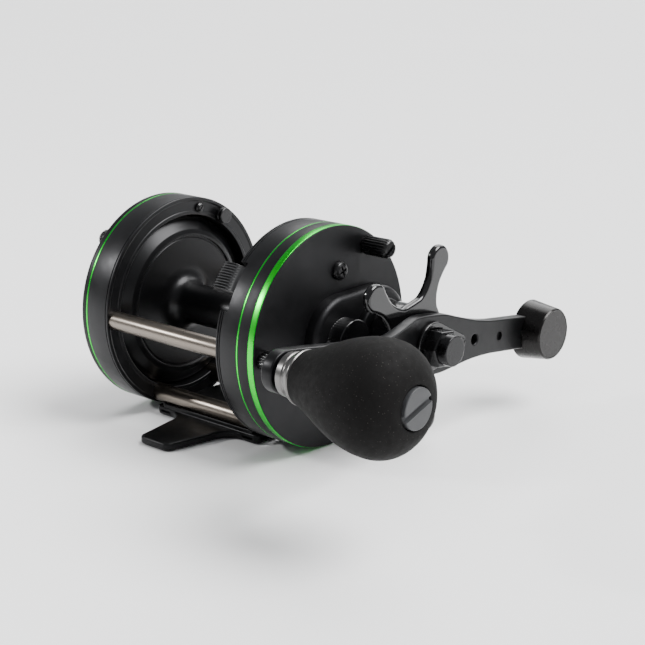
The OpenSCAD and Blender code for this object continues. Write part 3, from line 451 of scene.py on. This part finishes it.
HUB_R = 10.2
left_plate = rounded([
    (0, LP0), (8.6, LP0, 0.6), (9.6, LP0 + 0.5, 0.5), (HUB_R, LP0 + 2.6, 0.8), (R - 3.2, LP0 + 2.6, 0.2),
    (R - 3.0, LP0 + 2.75, 0.1), (R - 0.9, LP0 + 2.75, 0.8), (R, LP0 + 3.5, 0.6), (R, L0 - STRIPE, 0.06),
    (R - 0.6, L0 - STRIPE, 0.03), (R - 0.6, L0, 0), (RING_BORE, L0, 0), (RING_BORE, -27.9, 0.3),
    (6.8, -27.9, 0.3), (6.8, -23.4, 0.3), (4.2, -23.4, 0.2), (4.2, -27.1, 0), (5.05, -27.1, 0),
    (5.05, -30.6, 0),
    (0, -30.6)], 0.2, closed=False)
piece("left_cover", "frame", [turn(left_plate, segs=240)], black_face, ("left_side_plate",))

boss_from = (0.8, AXIS_Z)


def tangents(c0, r0, c1, r1, n=48):
    """Outline of two circles joined by their outer tangents."""
    base = atan2(c1[1] - c0[1], c1[0] - c0[0])
    off = acos((r0 - r1) / hypot(c1[0] - c0[0], c1[1] - c0[1]))
    first = [base + off + (2 * pi - 2 * off) * k / n for k in range(n + 1)]
    second = [base - off + 2 * off * k / n for k in range(n + 1)]
    return ([(c0[0] + r0 * cos(a), c0[1] + r0 * sin(a)) for a in first]
            + [(c1[0] + r1 * cos(a), c1[1] + r1 * sin(a)) for a in second])


WALL = 1.7
chamber = tangents(boss_from, 8.7, DRIVE, 10.0)
boss = tangents(boss_from, 10.7, DRIVE, 12.0)
BOSS1 = FACE + 2.8
face_hole = tangents(boss_from, 9.9, DRIVE, 11.3)
face_sheet = slab([circle(R - 0.9, AXIS, 240), face_hole], FACE - WALL, FACE + 0.001, 0.02, 1)
boss_wall = slab([boss, chamber], FACE - 1.6, FACE + 1.9, 0.02, 1)
boss_cover = slab([boss, circle(6.55, DRIVE), circle(3.55, AXIS)], FACE + 0.9, BOSS1, 1.5, 7)
plate_rim = rounded([
    (R - 0.95, FACE, 0), (R - 0.1, FACE, 0.22), (R - 0.1, BAND1, 0.03), (R - 0.34, BAND1, 0),
    (R - 0.34, BAND0, 0),
    (R, BAND0, 0.05),
    (R, R1 + STRIPE, 0.05), (R - 0.6, R1 + STRIPE, 0), (R - 0.6, R1, 0), (R - 1.6, R1, 0),
    (R - 1.6, FACE - WALL, 0.5), (R - 1.6, FACE - 0.6, 0)], 0.2)
COLLAR = FACE + 5.3
collar = rounded([
    (6.55, FACE + 1.0, 0), (9.1, FACE + 1.0, 0), (9.1, FACE + 2.75, 0.1), (9.1, COLLAR, 0.8),
    (4.7, COLLAR, 0.2),
    (4.7, COLLAR - 0.5, 0), (6.55, COLLAR - 0.5, 0)], 0.1, 6)
hub = rounded([(3.55, FACE + 1.0, 0), (4.55, FACE + 1.0, 0), (4.55, FACE + 6.4, 0.2),
               (3.55, FACE + 6.4, 0.2)], 0.1)
scallop = turn([(0, BOSS1), (6.15, BOSS1), (6.15, COLLAR + 1), (0, COLLAR + 1)], segs=96)
piece("right_cover", "frame",
      [face_sheet, turn(plate_rim, closed=True, segs=240), boss_wall, boss_cover, turn(hub, closed=True)],
      black_face, ("right_side_plate",))
piece("right_cover_bearing_collar", "frame", [turn(collar, DRIVE, closed=True)], black_face, cuts=[scallop])


# ---------------------------------------------------------------- screws and studs
def knurl(teeth, depth, x0, x1):
    """Radius of a knurled head: grooves between x0 and x1."""
    def shape(r, x, a):
        if not x0 < x < x1:
            return r
        return r - depth * (0.5 + 0.5 * cos(teeth * a)) ** 1.5
    return shape


def thumbscrew(x, way, height, r, spot, reach):
    """(shapes, cutters) of a knurled thumbscrew whose head starts at x and points along way."""
    profile = [(0, -reach), (1.25, -reach), (1.3, -reach + 0.2), (1.3, 0), (r - 0.35, 0), (r - 0.3, 0.5),
               (r - 0.05, 0.7), (r, 0.9)]
    profile += [(r, 0.9 + (height - 1.9) * k / 6) for k in range(1, 7)]
    profile += [(r - 0.08, height - 0.8), (r - 0.3, height - 0.45), (r - 0.5, height - 0.12),
                (r - 0.85, height),
                (0, height)]
    shape = knurl(20, 0.26, 0.65, height - 0.55)
    verts, faces = turn(profile, spot, segs=160, shape=shape)
    verts = [(x + way * v[0], v[1], v[2]) for v in verts]
    top = x + way * height
    lo, hi = sorted((top - way * 0.9, top + way))
    return (verts, faces), block((lo, -r - 1, -0.4), (hi, r + 1, 0.4), 35, spot)


def thumbscrews(name, node, x, way, height, r, angles, pitch, reach):
    made = [thumbscrew(x, way, height, r, polar(pitch, a, AXIS), reach) for a in angles]
    piece(name, "frame", [m[0] for m in made], black_screw, (node,), cuts=[m[1] for m in made], sharp=40)


SCREW_PITCH = 24.3
thumbscrews("right_knurled_screws", "right_thumbscrews", FACE, 1, 8.1, 2.4, (59.3, 180, 320), SCREW_PITCH,
            8.5)
thumbscrews("left_knurled_screws", "left_thumbscrews", LP0 + 2.6, -1, 2.0, 2.6, (133, 313), SCREW_PITCH, 6)

pan, pan_cuts = [], []
for y, z in ((2.4, 16.2), (2.4, -16.2), (-12, -11)):
    spot = (y, AXIS_Z + z)
    pan.append(turn(rounded([(0, FACE + 1.5), (1.4, FACE + 1.5, 0.5), (2.1, FACE + 1.1, 0.4),
                             (2.3, FACE + 0.5, 0.3),
                             (2.3, FACE + 0.02, 0.05), (1.1, FACE + 0.02, 0), (1.1, FACE - 5.2),
                             (0, FACE - 5.2)],
                            0.2, 4, closed=False), spot, segs=48))
    for spin in (20, 110):
        pan_cuts.append(block((FACE + 0.7, -1.35, -0.24), (FACE + 2, 1.35, 0.24), spin, spot))
    pan_cuts.append(turn([(0, FACE + 0.75), (0.75, FACE + 2), (0, FACE + 2)], spot, segs=4))
piece("cross_head_screws", "frame", pan, black_screw, ("cover_screws",), cuts=pan_cuts)

small = []
small_cuts = []
for s in (-1, 1):
    spot = polar(PITCH, -90 + s * LOWER_A, AXIS)
    small.append(turn(rounded([(0, FACE + 0.0), (0.9, FACE - 0.02, 0.3), (1.42, FACE - 0.4, 0.2),
                               (1.42, FACE - 1.08, 0.05),
                               (1.0, FACE - 1.08, 0), (1.0, R1 - 3.4), (0, R1 - 3.4)], 0.1, 3,
                               closed=False), spot, segs=36))
    small_cuts.append(block((FACE - 0.45, -1.1, -0.2), (FACE + 1, 1.1, 0.2), 60, spot))
piece("small_slotted_screws", "frame", small, black_screw, ("pillar_screws",), cuts=small_cuts)

stud_at, rivet_at = polar(PITCH, 58, AXIS), polar(PITCH, 77.5, AXIS)
piece("ring_stop_stud", "frame", [turn(rounded([
    (0, L1 - 2.8), (1.08, L1 - 2.8), (1.08, L1, 0), (2.1, L1, 0.05), (2.1, L1 + 1.0, 0.1),
    (2.0, L1 + 1.15, 0.05),
    (2.0, L1 + 1.3, 0.05), (2.1, L1 + 1.45, 0.1), (2.1, L1 + 2.2, 0.35), (0, L1 + 2.2)], 0.1, 3,
    closed=False),
    stud_at, segs=64)], black_screw, ("ring_stud",))
piece("ring_dome_screw", "frame", [turn(rounded([
    (0, L1 - 2.8), (0.78, L1 - 2.8), (0.78, L1, 0), (1.3, L1, 0.05), (1.3, L1 + 0.35, 0.3),
    (0.8, L1 + 0.8, 0.4),
    (0, L1 + 0.8)], 0.1, 4, closed=False), rivet_at, segs=48)], black_screw, ("ring_screw",),
    cuts=[block((L1 + 0.5, -1.5, -0.18), (L1 + 2, 1.5, 0.18), 50, rivet_at)])

# ---------------------------------------------------------------- pillars
for name, spot in (("rear_pillar", (-PITCH, AXIS_Z)), ("front_pillar", (PITCH, AXIS_Z)),
                   ("lower_rear_pillar", polar(PITCH, -90 - LOWER_A, AXIS)),
                   ("lower_front_pillar", polar(PITCH, -90 + LOWER_A, AXIS))):
    x0, x1 = span(name)[:2]
    piece(name + "_bar", "frame", [turn(rounded([
        (0, x0), (PILLAR_R - 0.3, x0, 0), (PILLAR_R, x0 + 0.3, 0.1), (PILLAR_R, x1), (0, x1)], 0.1, 3,
        closed=False),
        spot, segs=96)], pillar_steel, (name,))

# ---------------------------------------------------------------- foot
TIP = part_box("foot")[1].y / MM
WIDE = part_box("foot")[1].x / MM
FLARE, NECK, BLADE, FILLET = 12.7, 7.5, 5.5, 5.5


def arc(c, r, a0, a1, n):
    return [polar(r, a0 + (a1 - a0) * k / n, c) for k in range(n + 1)]


quarter = (arc((BLADE - 2.2, TIP - 2.2), 2.2, 90, 0, 8) + arc((NECK + FILLET, FLARE + FILLET), FILLET, 180,
    270, 14)
           + arc((WIDE - 1.5, FLARE - 1.5), 1.5, 90, 0, 6))
half = quarter + [(x, -y) for x, y in quarter[::-1]]
whole = half + [(-x, y) for x, y in half[::-1]]


def deck(outlines, z0, z1, bevel, steps=3):
    """As slab, but the outline is in (x, y) and it is extruded along Z."""
    verts, faces = slab(outlines, z0, z1, bevel, steps)
    return [(v[1], v[2], v[0]) for v in verts], faces


LOW_Y = PITCH * sin(radians(LOWER_A))
LOW_Z = AXIS_Z - PITCH * cos(radians(LOWER_A))
PAD_TOP = LOW_Z - PILLAR_R + 0.5
plate = rounded([(WIDE, FLARE), (-WIDE, FLARE), (-WIDE, -FLARE), (WIDE, -FLARE)], 1.5, 8)
piece("rod_foot", "frame", [deck([whole], 0, 2.0, 0.6, 5), deck([plate], 0.4, 2.4, 0.5, 5)], black_arm,
      ("foot",))
pads, pillar_cuts = [], []
for s in (-1, 1):
    y0, y1 = s * LOW_Y - 2.2, s * LOW_Y + 2.2
    pads.append(deck([rounded([(16, y0), (16, y1), (-16, y1), (-16, y0)], 1.0, 6)], 1.2, PAD_TOP, 0.25))
    pillar_cuts.append(turn([(0, L1), (PILLAR_R + 0.02, L1), (PILLAR_R + 0.02, R0), (0, R0)],
                            (s * LOW_Y, LOW_Z), segs=64))
piece("foot_pillar_pads", "frame", pads, black_arm, cuts=pillar_cuts)

# ---------------------------------------------------------------- spool
ARBOR = 5.2
outer_half = [(FLANGE_R - 0.5, 22.4, 0.3), (FLANGE_R, 21.95, 0.3), (FLANGE_R - 0.1, 21.45, 0.3),
              (21.5, 21.15, 0.5),
              (20.2, 20.25, 1.4), (19.0, 19.35, 1.2), (18.0, 19.0, 0.6), (17.5, 19.0, 0.15),
              (17.4, 19.45, 0.1),
              (17.0, 19.45, 0.1), (16.8, 19.2, 0.15), (ARBOR, 19.2, 4.4), (ARBOR, 0.5, 0)]
right_half = [p for p in outer_half]
left_half = [(r, -x, q) for r, x, q in outer_half]
section = ([(2.52, -20.6, 0), (13.0, -20.6, 0.3), (13.0, -22.4, 0.3)] + left_half + right_half[::-1]
           + [(2.52, 22.4, 0.2)])
piece("spool_shell", "spool", [turn(rounded(section, 0.2, 9), closed=True, segs=240)], black_spool,
      ("spool",))

# ---------------------------------------------------------------- thumb lever pad
RIDGES = 11
verts, faces = [], []
columns, rows_ = 12 * RIDGES, 10
pad0, pad1 = R0 - 5.6, R0 + 2.2
for i in range(columns + 1):
    a = THUMB[0] + (THUMB[1] - THUMB[0]) * i / columns
    wave = max(0.0, sin(2 * pi * (i / columns * RIDGES - 0.25)) * 0.5 + 0.5) ** 0.7
    for j in range(rows_ + 1):
        t = j / rows_
        x = pad0 + (pad1 - pad0) * t
        edge = min(1.0, min(t, 1 - t) * 7) ** 0.5
        ends = min(1.0, min(i, columns - i) / 7) ** 0.5
        top = R - 0.62 - (1 - edge * ends) * 1.0 + (0.58 * wave * edge * ends if x < R0 - 0.15 else 0.0)
        y, z = polar(top, a, AXIS)
        verts.append((x, y, z))
base = len(verts)
for i in range(columns + 1):
    a = THUMB[0] + (THUMB[1] - THUMB[0]) * i / columns
    for j in range(rows_ + 1):
        y, z = polar(24.42, a, AXIS)
        verts.append((pad0 + (pad1 - pad0) * j / rows_, y, z))
w = rows_ + 1
for i in range(columns):
    for j in range(rows_):
        k = i * w + j
        faces.append([k, k + 1, k + w + 1, k + w])
        faces.append([base + k, base + k + w, base + k + w + 1, base + k + 1])
    for j in (0, rows_):
        k = i * w + j
        faces.append([k, k + w, base + k + w, base + k])
for j in range(rows_):
    for i in (0, columns):
        k = i * w + j
        faces.append([k, k + 1, base + k + 1, base + k])
piece("ridged_thumb_pad", "clutch", [(verts, faces)], thumb_plastic, ("clutch_thumb_pad",), sharp=50)

# ---------------------------------------------------------------- star drag wheel
STAR0 = STAR1 - 2.2
REACH, LOBE = 21.0, 3.5
star = []
for i in range(5):
    turn_by = -6 + 72 * i
    arm = [(9.3, -5.0), (10.6, -3.5), (12.8, -2.55), (15.4, -2.2), (17.6, -2.55)]
    lobe = [(REACH + LOBE * cos(radians(a)), LOBE * sin(radians(a))) for a in range(-120, 121, 20)]
    for x, y in arm + lobe + [(x, -y) for x, y in arm[::-1]]:
        star.append(polar(hypot(x, y), turn_by + atan2(y, x) * 180 / pi, DRIVE))
star_outline = flowing(star, 4)
star_bore = circle(3.02, DRIVE, 64)
hub_profile = rounded([(3.02, COLLAR + 1.3, 0), (5.8, COLLAR + 1.3, 0), (5.8, COLLAR + 0.5, 0),
                       (7.2, COLLAR + 0.5, 0.3),
                       (7.2, FACE + 7.8, 0.05), (8.6, FACE + 7.8, 0.3), (8.9, FACE + 8.3, 0.2),
                       (8.9, STAR0 + 0.6, 0),
                       (3.02, STAR0 + 0.6, 0)], 0.15, 4)
piece("star_drag_wheel", "star", [slab([star_outline, star_bore], STAR0, STAR1, 0.85, 6),
                                  turn(hub_profile, DRIVE, closed=True)], black_gloss, ("star_wheel",))

# ---------------------------------------------------------------- handle arm
HALF = [(0, 7.5), (5, 7.3), (9, 6.6), (13, 5.8), (18, 4.95), (24, 4.4), (30, 4.3)]
KNOB_W = 4.8
upper = flowing([(-KNOB_REACH, KNOB_W), (6 - KNOB_REACH, KNOB_W - 0.05)] + [(-s, h) for s,
    h in HALF[:0:-1]] + HALF
                + [(WEIGHT_REACH, 4.3)], 4, closed=False)
end_knob = [(-KNOB_REACH - KNOB_W * sin(radians(a)), KNOB_W * cos(radians(a))) for a in range(170, 5, -10)]
end_bal = [(WEIGHT_REACH + 4.3 * sin(radians(a)), 4.3 * cos(radians(a))) for a in range(10, 175, 10)]
arm_shape = upper + end_bal + [(s, -h) for s, h in upper[::-1]] + end_knob
HOLE_NEAR, HOLE_FAR, LOCK_AT = 18.2, 29.0, 10.8
BEND_FROM, BEND_TO = -6.3, -21.8


def on_arm(points):
    return [(DRIVE_Y + s * cos(TILT) - h * sin(TILT), DRIVE_Z + s * sin(TILT) + h * cos(TILT)) for s,
            h in points]


def arm_spot(s, h=0.0):
    return on_arm([(s, h)])[0]


def bend(s):
    """How far the arm is bent outward at s, with the corners eased."""
    steps = [min(1.0, max(0.0, (BEND_FROM - s - d) / (BEND_FROM - BEND_TO))) for d in (-1.0, -0.5, 0.0, 0.5,
        1.0)]
    return (ARM_END - ARM1) * sum(steps) / len(steps)


def bent(shape):
    """A shape on the flat arm, carried outward by the bend."""
    bm = bmesh.new()
    made = [bm.verts.new(v) for v in shape[0]]
    for f in shape[1]:
        if len(set(f)) == len(f):
            bm.faces.new([made[i] for i in f])
    along = Vector((0, cos(TILT), sin(TILT)))
    for k in range(22):
        cut_at = BEND_FROM + 1.5 - k * 0.9
        bmesh.ops.bisect_plane(bm, geom=bm.verts[:] + bm.edges[:] + bm.faces[:], dist=1e-5,
                               plane_co=(0, *arm_spot(cut_at)), plane_no=along)
    bm.verts.index_update()
    shaft = Vector((0, DRIVE_Y, DRIVE_Z))
    verts = [(v.co.x + bend((v.co - shaft).dot(along)), v.co.y, v.co.z) for v in bm.verts]
    faces = [[v.index for v in f.verts] for f in bm.faces]
    bm.free()
    return verts, faces


flats = [(2.92 * cos(a), 2.92 * sin(a)) for a in [radians(k) for k in range(0, 360, 6)]]
flats = [(s, max(-2.22, min(2.22, h))) for s, h in flats]
dimple = turn([(0, ARM1 - 0.9), (1.15, ARM1 - 0.7), (1.25, ARM1 + 1), (0, ARM1 + 1)], arm_spot(HOLE_FAR),
              segs=40)
arm = slab([on_arm(arm_shape), on_arm(flats), on_arm(circle(2.02, (-KNOB_REACH, 0), 48)),
            circle(1.3, arm_spot(HOLE_NEAR), 40), circle(1.52, arm_spot(WEIGHT_REACH), 40),
            circle(0.82, arm_spot(LOCK_AT), 32)], ARM0, ARM1, 0.42, 4)
piece("power_handle_arm", "handle", [bent(arm)], black_arm, ("handle_arm",), cuts=[dimple])

hexagon = [polar(4.3 / cos(pi / 6), 60 * i + TILT * 180 / pi, DRIVE) for i in range(6)]
hex_hole = [polar(4.4 / cos(pi / 6), 60 * i + TILT * 180 / pi, DRIVE) for i in range(6)]
STUB = 2.07
nut_round = rounded([(STUB, NUT0 + 4.4, 0), (3.8, NUT0 + 4.4, 0), (3.8, NUT1, 0.35), (0, NUT1)], 0.2, 5,
                    closed=False)
nut_round = nut_round + [(0, NUT1 - 1.5), (STUB, NUT1 - 1.5)]
piece("handle_cap_nut", "handle", [slab([rounded(hexagon, 0.35, 4), circle(STUB, DRIVE, 48)], NUT0,
                                        NUT0 + 4.7, 0.4, 4),
                                   turn(nut_round, DRIVE, closed=True, segs=96)], nut_face, ("handle_nut",))
lock = [arm_spot(0), arm_spot(LOCK_AT)]
piece("nut_locking_plate", "handle", [slab([tangents(lock[0], 6.0, lock[1], 2.2), hex_hole,
                                            circle(0.82, lock[1], 32)], NUT0, NUT0 + 1.0, 0.25, 3)],
      black_gloss, ("nut_lock_plate",))
LOCK0 = NUT0 + 1.02
piece("locking_screw", "handle", [turn(rounded([(0, LOCK0 + 0.68), (1.1, LOCK0 + 0.68, 0.3),
                                                (1.5, LOCK0 + 0.35, 0.15),
                                                (1.5, LOCK0, 0.02), (0.8, LOCK0, 0), (0.8, ARM0 + 0.5),
                                                (0, ARM0 + 0.5)],
                                               0.1, 4, closed=False), lock[1], segs=48)],
      black_screw, ("lock_plate_screw",), cuts=[block((LOCK0 + 0.4, -2, -0.2), (LOCK0 + 2, 2, 0.2), 30,
                                                      lock[1])])

# ---------------------------------------------------------------- counterbalance
WSPOT = (BW_Y, BW_Z)
FRONT_R = 6.75
weight = rounded([(0, BAL0), (BAL_R, BAL0, 0.4), (FRONT_R + 0.05, BAL1 - 0.35, 0.25),
                  (FRONT_R - 0.3, BAL1, 0.1),
                  (FRONT_R - 0.45, BAL1, 0.05), (FRONT_R - 0.55, BAL1 - 0.1, 0.05), (0, BAL1 - 0.1)], 0.1,
                  5,
                 closed=False)
slot_cut = slab([on_arm([(s * 1.001, h * 1.008) for s, h in arm_shape if s > 20])], BAL0 - 1, ARM1 + 0.02,
                0.02, 1)
stem_cut = turn([(0, BAL0 - 1), (1.52, BAL0 - 1), (1.52, BAL0 + 6), (0, BAL0 + 6)], WSPOT, segs=40)
piece("counterbalance_weight", "handle", [turn(weight, WSPOT, segs=144)], weight_face, ("counterbalance",),
      cuts=[slot_cut, stem_cut])

# ---------------------------------------------------------------- knob
SWELL = GRIP1 + 0.6 - 9.6


def grip_r(x):
    t = (x - GRIP0) / (SWELL - GRIP0)
    if x < SWELL:
        return FERRULE_R + (GRIP_R - FERRULE_R) * sin(pi / 2 * t) ** 1.3
    return GRIP_R * max(0.02, 1 - ((x - SWELL) / 10.2) ** 2.2) ** 0.5


CAP_EDGE = 4.55
steps = 56
grip = [(FERRULE_R - 0.25, GRIP0), (FERRULE_R - 0.05, GRIP0 + 0.08)]
grip += [(grip_r(x), x) for x in [GRIP0 + 0.25 + (GRIP1 - 0.5 - GRIP0) * k / steps for k in range(steps + 1)]
         if grip_r(x) > CAP_EDGE + 0.4]
top = grip[-1]
grip += rounded([top, (CAP_EDGE + 0.25, GRIP1 - 0.05, 0.3), (CAP_EDGE, GRIP1 - 0.5, 0.1),
                 (CAP_EDGE, GRIP1 - 2.2)], 0.2,
                5, closed=False)[1:]
grip += [(3.2, GRIP1 - 2.2), (3.2, GRIP0)]
piece("foam_knob_grip", "knob", [turn(grip, KNOB, closed=True, segs=160)], grip_foam, ("knob_grip",))
F0, F1 = span("knob_ferrule")[:2]
ferrule = rounded([(3.05, F0, 0), (4.5, F0, 0.1), (4.95, F0 + 0.3, 0.2), (5.1, F0 + 1.8, 0.15),
                   (4.9, F0 + 2.05, 0.12),
                   (4.9, F0 + 2.3, 0.1), (5.4, F0 + 2.8, 0.25), (FERRULE_R - 0.05, F1 - 0.6, 0.3),
                   (FERRULE_R, F1 - 0.3, 0.15), (FERRULE_R - 0.3, F1 - 0.02, 0.1), (3.05, F1 - 0.02, 0)],
                   0.1, 5)
piece("knob_steel_ferrule", "knob", [turn(ferrule, KNOB, closed=True, segs=144)], ferrule_steel,
      ("knob_ferrule",))
S0, S1 = span("knob_spindle")[:2]
KNOB_BASE = ARM_END
spindle = rounded([(0, S0), (3.0, S0, 0.2), (3.0, S0 + 0.58, 0), (2.0, S0 + 0.58, 0),
                   (2.0, KNOB_BASE + 0.02, 0),
                   (3.8, KNOB_BASE + 0.02, 0.1), (3.8, KNOB_BASE + 0.8, 0.2), (2.0, KNOB_BASE + 0.8, 0),
                   (2.0, S1),
                   (1.02, S1), (1.02, S1 - 3.8), (0, S1 - 3.8)], 0.1, 5, closed=False)
piece("knob_spindle_post", "handle", [turn(spindle, KNOB, segs=96)], spindle_steel, ("knob_spindle",))
E0, E1 = span("knob_end_cap")[:2]
cap = rounded([(0, E0), (1.0, E0), (1.0, E1 - 2.7, 0), (4.42, E1 - 2.7, 0.1), (4.42, E1, 0.25), (0, E1)],
              0.1, 4,
              closed=False)
piece("knob_slotted_cap", "handle", [turn(cap, KNOB, segs=96)], cap_grey, ("knob_end_cap",),
      cuts=[block((E1 - 0.9, -6, -0.68), (E1 + 1, 6, 0.68), 18, KNOB)])

# ---------------------------------------------------------------- spool tension cap
tension = rounded([(4.66, CAP0, 0.1), (CAP_R - 0.12, CAP0, 0.2), (CAP_R - 0.12, CAP0 + 3.1, 0.1),
                   (CAP_R, CAP0 + 3.3, 0.1),
                   (CAP_R, CAP1 - 0.15, 0.35), (CAP_R - 1.2, CAP1, 0.4), (0, CAP1)], 0.1, 5, closed=False)
tension += [(0, CAP0 + 3.2), (4.66, CAP0 + 3.2)]
piece("spool_tension_knob", "tension", [turn(tension, closed=True, segs=192,
                                             shape=knurl(48, 0.22, CAP0 + 0.2, CAP0 + 3.0))],
      black_gloss, ("tension_cap",), sharp=45)

# ---------------------------------------------------------------- yoke springs, built at one fixed length; they do not shorten as the yoke lifts
SPRING0, SPRING1, _, _, SPRING_HALF = span("yoke_springs")
COIL_R, WIRE_R, TURNS = 1.3, 0.22, 4


def coil(z, per_turn=24, sides=10):
    verts, faces, steps = [], [], TURNS * per_turn
    for i in range(steps + 1):
        a = 2 * pi * i / per_turn
        x = SPRING0 + WIRE_R + (SPRING1 - SPRING0 - 2 * WIRE_R) * i / steps
        for j in range(sides):
            b = 2 * pi * j / sides
            r = COIL_R + WIRE_R * cos(b)
            verts.append((x + WIRE_R * sin(b), r * cos(a), z + r * sin(a)))
    for i in range(steps):
        for j in range(sides):
            k = (j + 1) % sides
            faces.append([i * sides + j, i * sides + k, (i + 1) * sides + k, (i + 1) * sides + j])
    faces += [list(range(sides)), list(range(steps * sides, (steps + 1) * sides))]
    return verts, faces


post = SPRING_HALF - COIL_R - WIRE_R
coils = piece("yoke_return_coils", "frame", [coil(AXIS_Z - post), coil(AXIS_Z + post)], spring_steel,
              ("yoke_springs",))
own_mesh(coils)

# ---------------------------------------------------------------- CAD nodes that keep their shape
KEPT = {
    "foot_screws": plain_steel, "left_bearing": bearing_steel, "brake_drum": bronze,
    "bridge_plate": aluminium,
    "drive_bushing": bronze, "drive_bearing": drive_steel, "right_bearing": bearing_steel,
    "clutch_lever": aluminium, "yoke": plain_steel, "pinion_gear": bronze,
    "spool_shaft": shaft_steel, "drive_pin": plain_steel, "brake_hub": shaft_steel,
    "front_brake_block": brake_white,
    "rear_brake_block": brake_white, "main_gear": bronze, "fibre_drag_washers": drag_fibre,
    "metal_drag_washers": drive_steel, "ratchet_wheel": drive_steel, "drive_shaft": drive_steel,
    "drag_sleeve": drive_steel, "spring_washers": spring_steel, "counterbalance_screw": plain_steel,
    "knob_bushings": bronze, "tension_shim": bronze, "anti_reverse_pawl": plain_steel,
}
for name, material in KEPT.items():
    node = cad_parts[name]
    node.data.materials.clear()
    node.data.materials.append(material)
    shade(node.data, 28)

# ---------------------------------------------------------------- floor, light and camera
def floor_material():
    mat = bpy.data.materials.new("pale_floor")
    mat.use_nodes = True
    bsdf = mat.node_tree.nodes["Principled BSDF"]
    bsdf.inputs["Roughness"].default_value = 0.6
    grain = mat.node_tree.nodes.new("ShaderNodeTexNoise")
    grain.inputs["Scale"].default_value = 40.0
    tone = mat.node_tree.nodes.new("ShaderNodeMapRange")
    tone.inputs["To Min"].default_value, tone.inputs["To Max"].default_value = 0.86, 0.89
    mat.node_tree.links.new(grain.outputs["Fac"], tone.inputs["Value"])
    mat.node_tree.links.new(tone.outputs["Result"], bsdf.inputs["Base Color"])
    return mat


FLOOR_DROP = 0.0002
bpy.ops.mesh.primitive_plane_add(size=12.0, location=(0, 0, -FLOOR_DROP))
floor = bpy.context.object
floor.name = "floor"
floor.data.materials.append(floor_material())

world = bpy.data.worlds.new("studio")
bpy.context.scene.world = world
world.use_nodes = True
world.node_tree.nodes["Background"].inputs["Color"].default_value = (0.95, 0.97, 1.0, 1)
world.node_tree.nodes["Background"].inputs["Strength"].default_value = 0.40


def softbox(name, at, look, size, power, colour=(1, 1, 1)):
    data = bpy.data.lights.new(name, "AREA")
    data.shape, data.size, data.size_y = "RECTANGLE", size[0], size[1]
    data.energy, data.color = power, colour
    light = bpy.data.objects.new(name, data)
    light.location = at
    light.rotation_euler = (Vector(look) - Vector(at)).to_track_quat("-Z", "Y").to_euler()
    bpy.context.scene.collection.objects.link(light)


def far_light(name, toward, spread, strength):
    """A distant soft light that shines along toward and lights the whole floor evenly."""
    data = bpy.data.lights.new(name, "SUN")
    data.energy, data.angle = strength, radians(spread)
    light = bpy.data.objects.new(name, data)
    light.rotation_euler = Vector(toward).to_track_quat("-Z", "Y").to_euler()
    bpy.context.scene.collection.objects.link(light)


TARGET = (0.02, 0.0, 0.028)
far_light("high_right", (-0.50, -0.30, -0.80), 40, 6.6)
far_light("high_back", (0.20, -0.70, -0.68), 55, 2.6)
softbox("band_spark", (-0.376, -0.348, 0.316), TARGET, (0.05, 0.05), 1.6)

camera_data = bpy.data.cameras.new("camera")
camera_data.lens, camera_data.sensor_width = 85.83, 36.0
camera_data.clip_start = 0.01
camera = bpy.data.objects.new("camera", camera_data)
camera.location = (0.2653, -0.2696, 0.1345)
camera.rotation_euler = Vector((-0.634, 0.7217, -0.2777)).to_track_quat("-Z", "Y").to_euler()
bpy.context.scene.collection.objects.link(camera)
bpy.context.scene.camera = camera
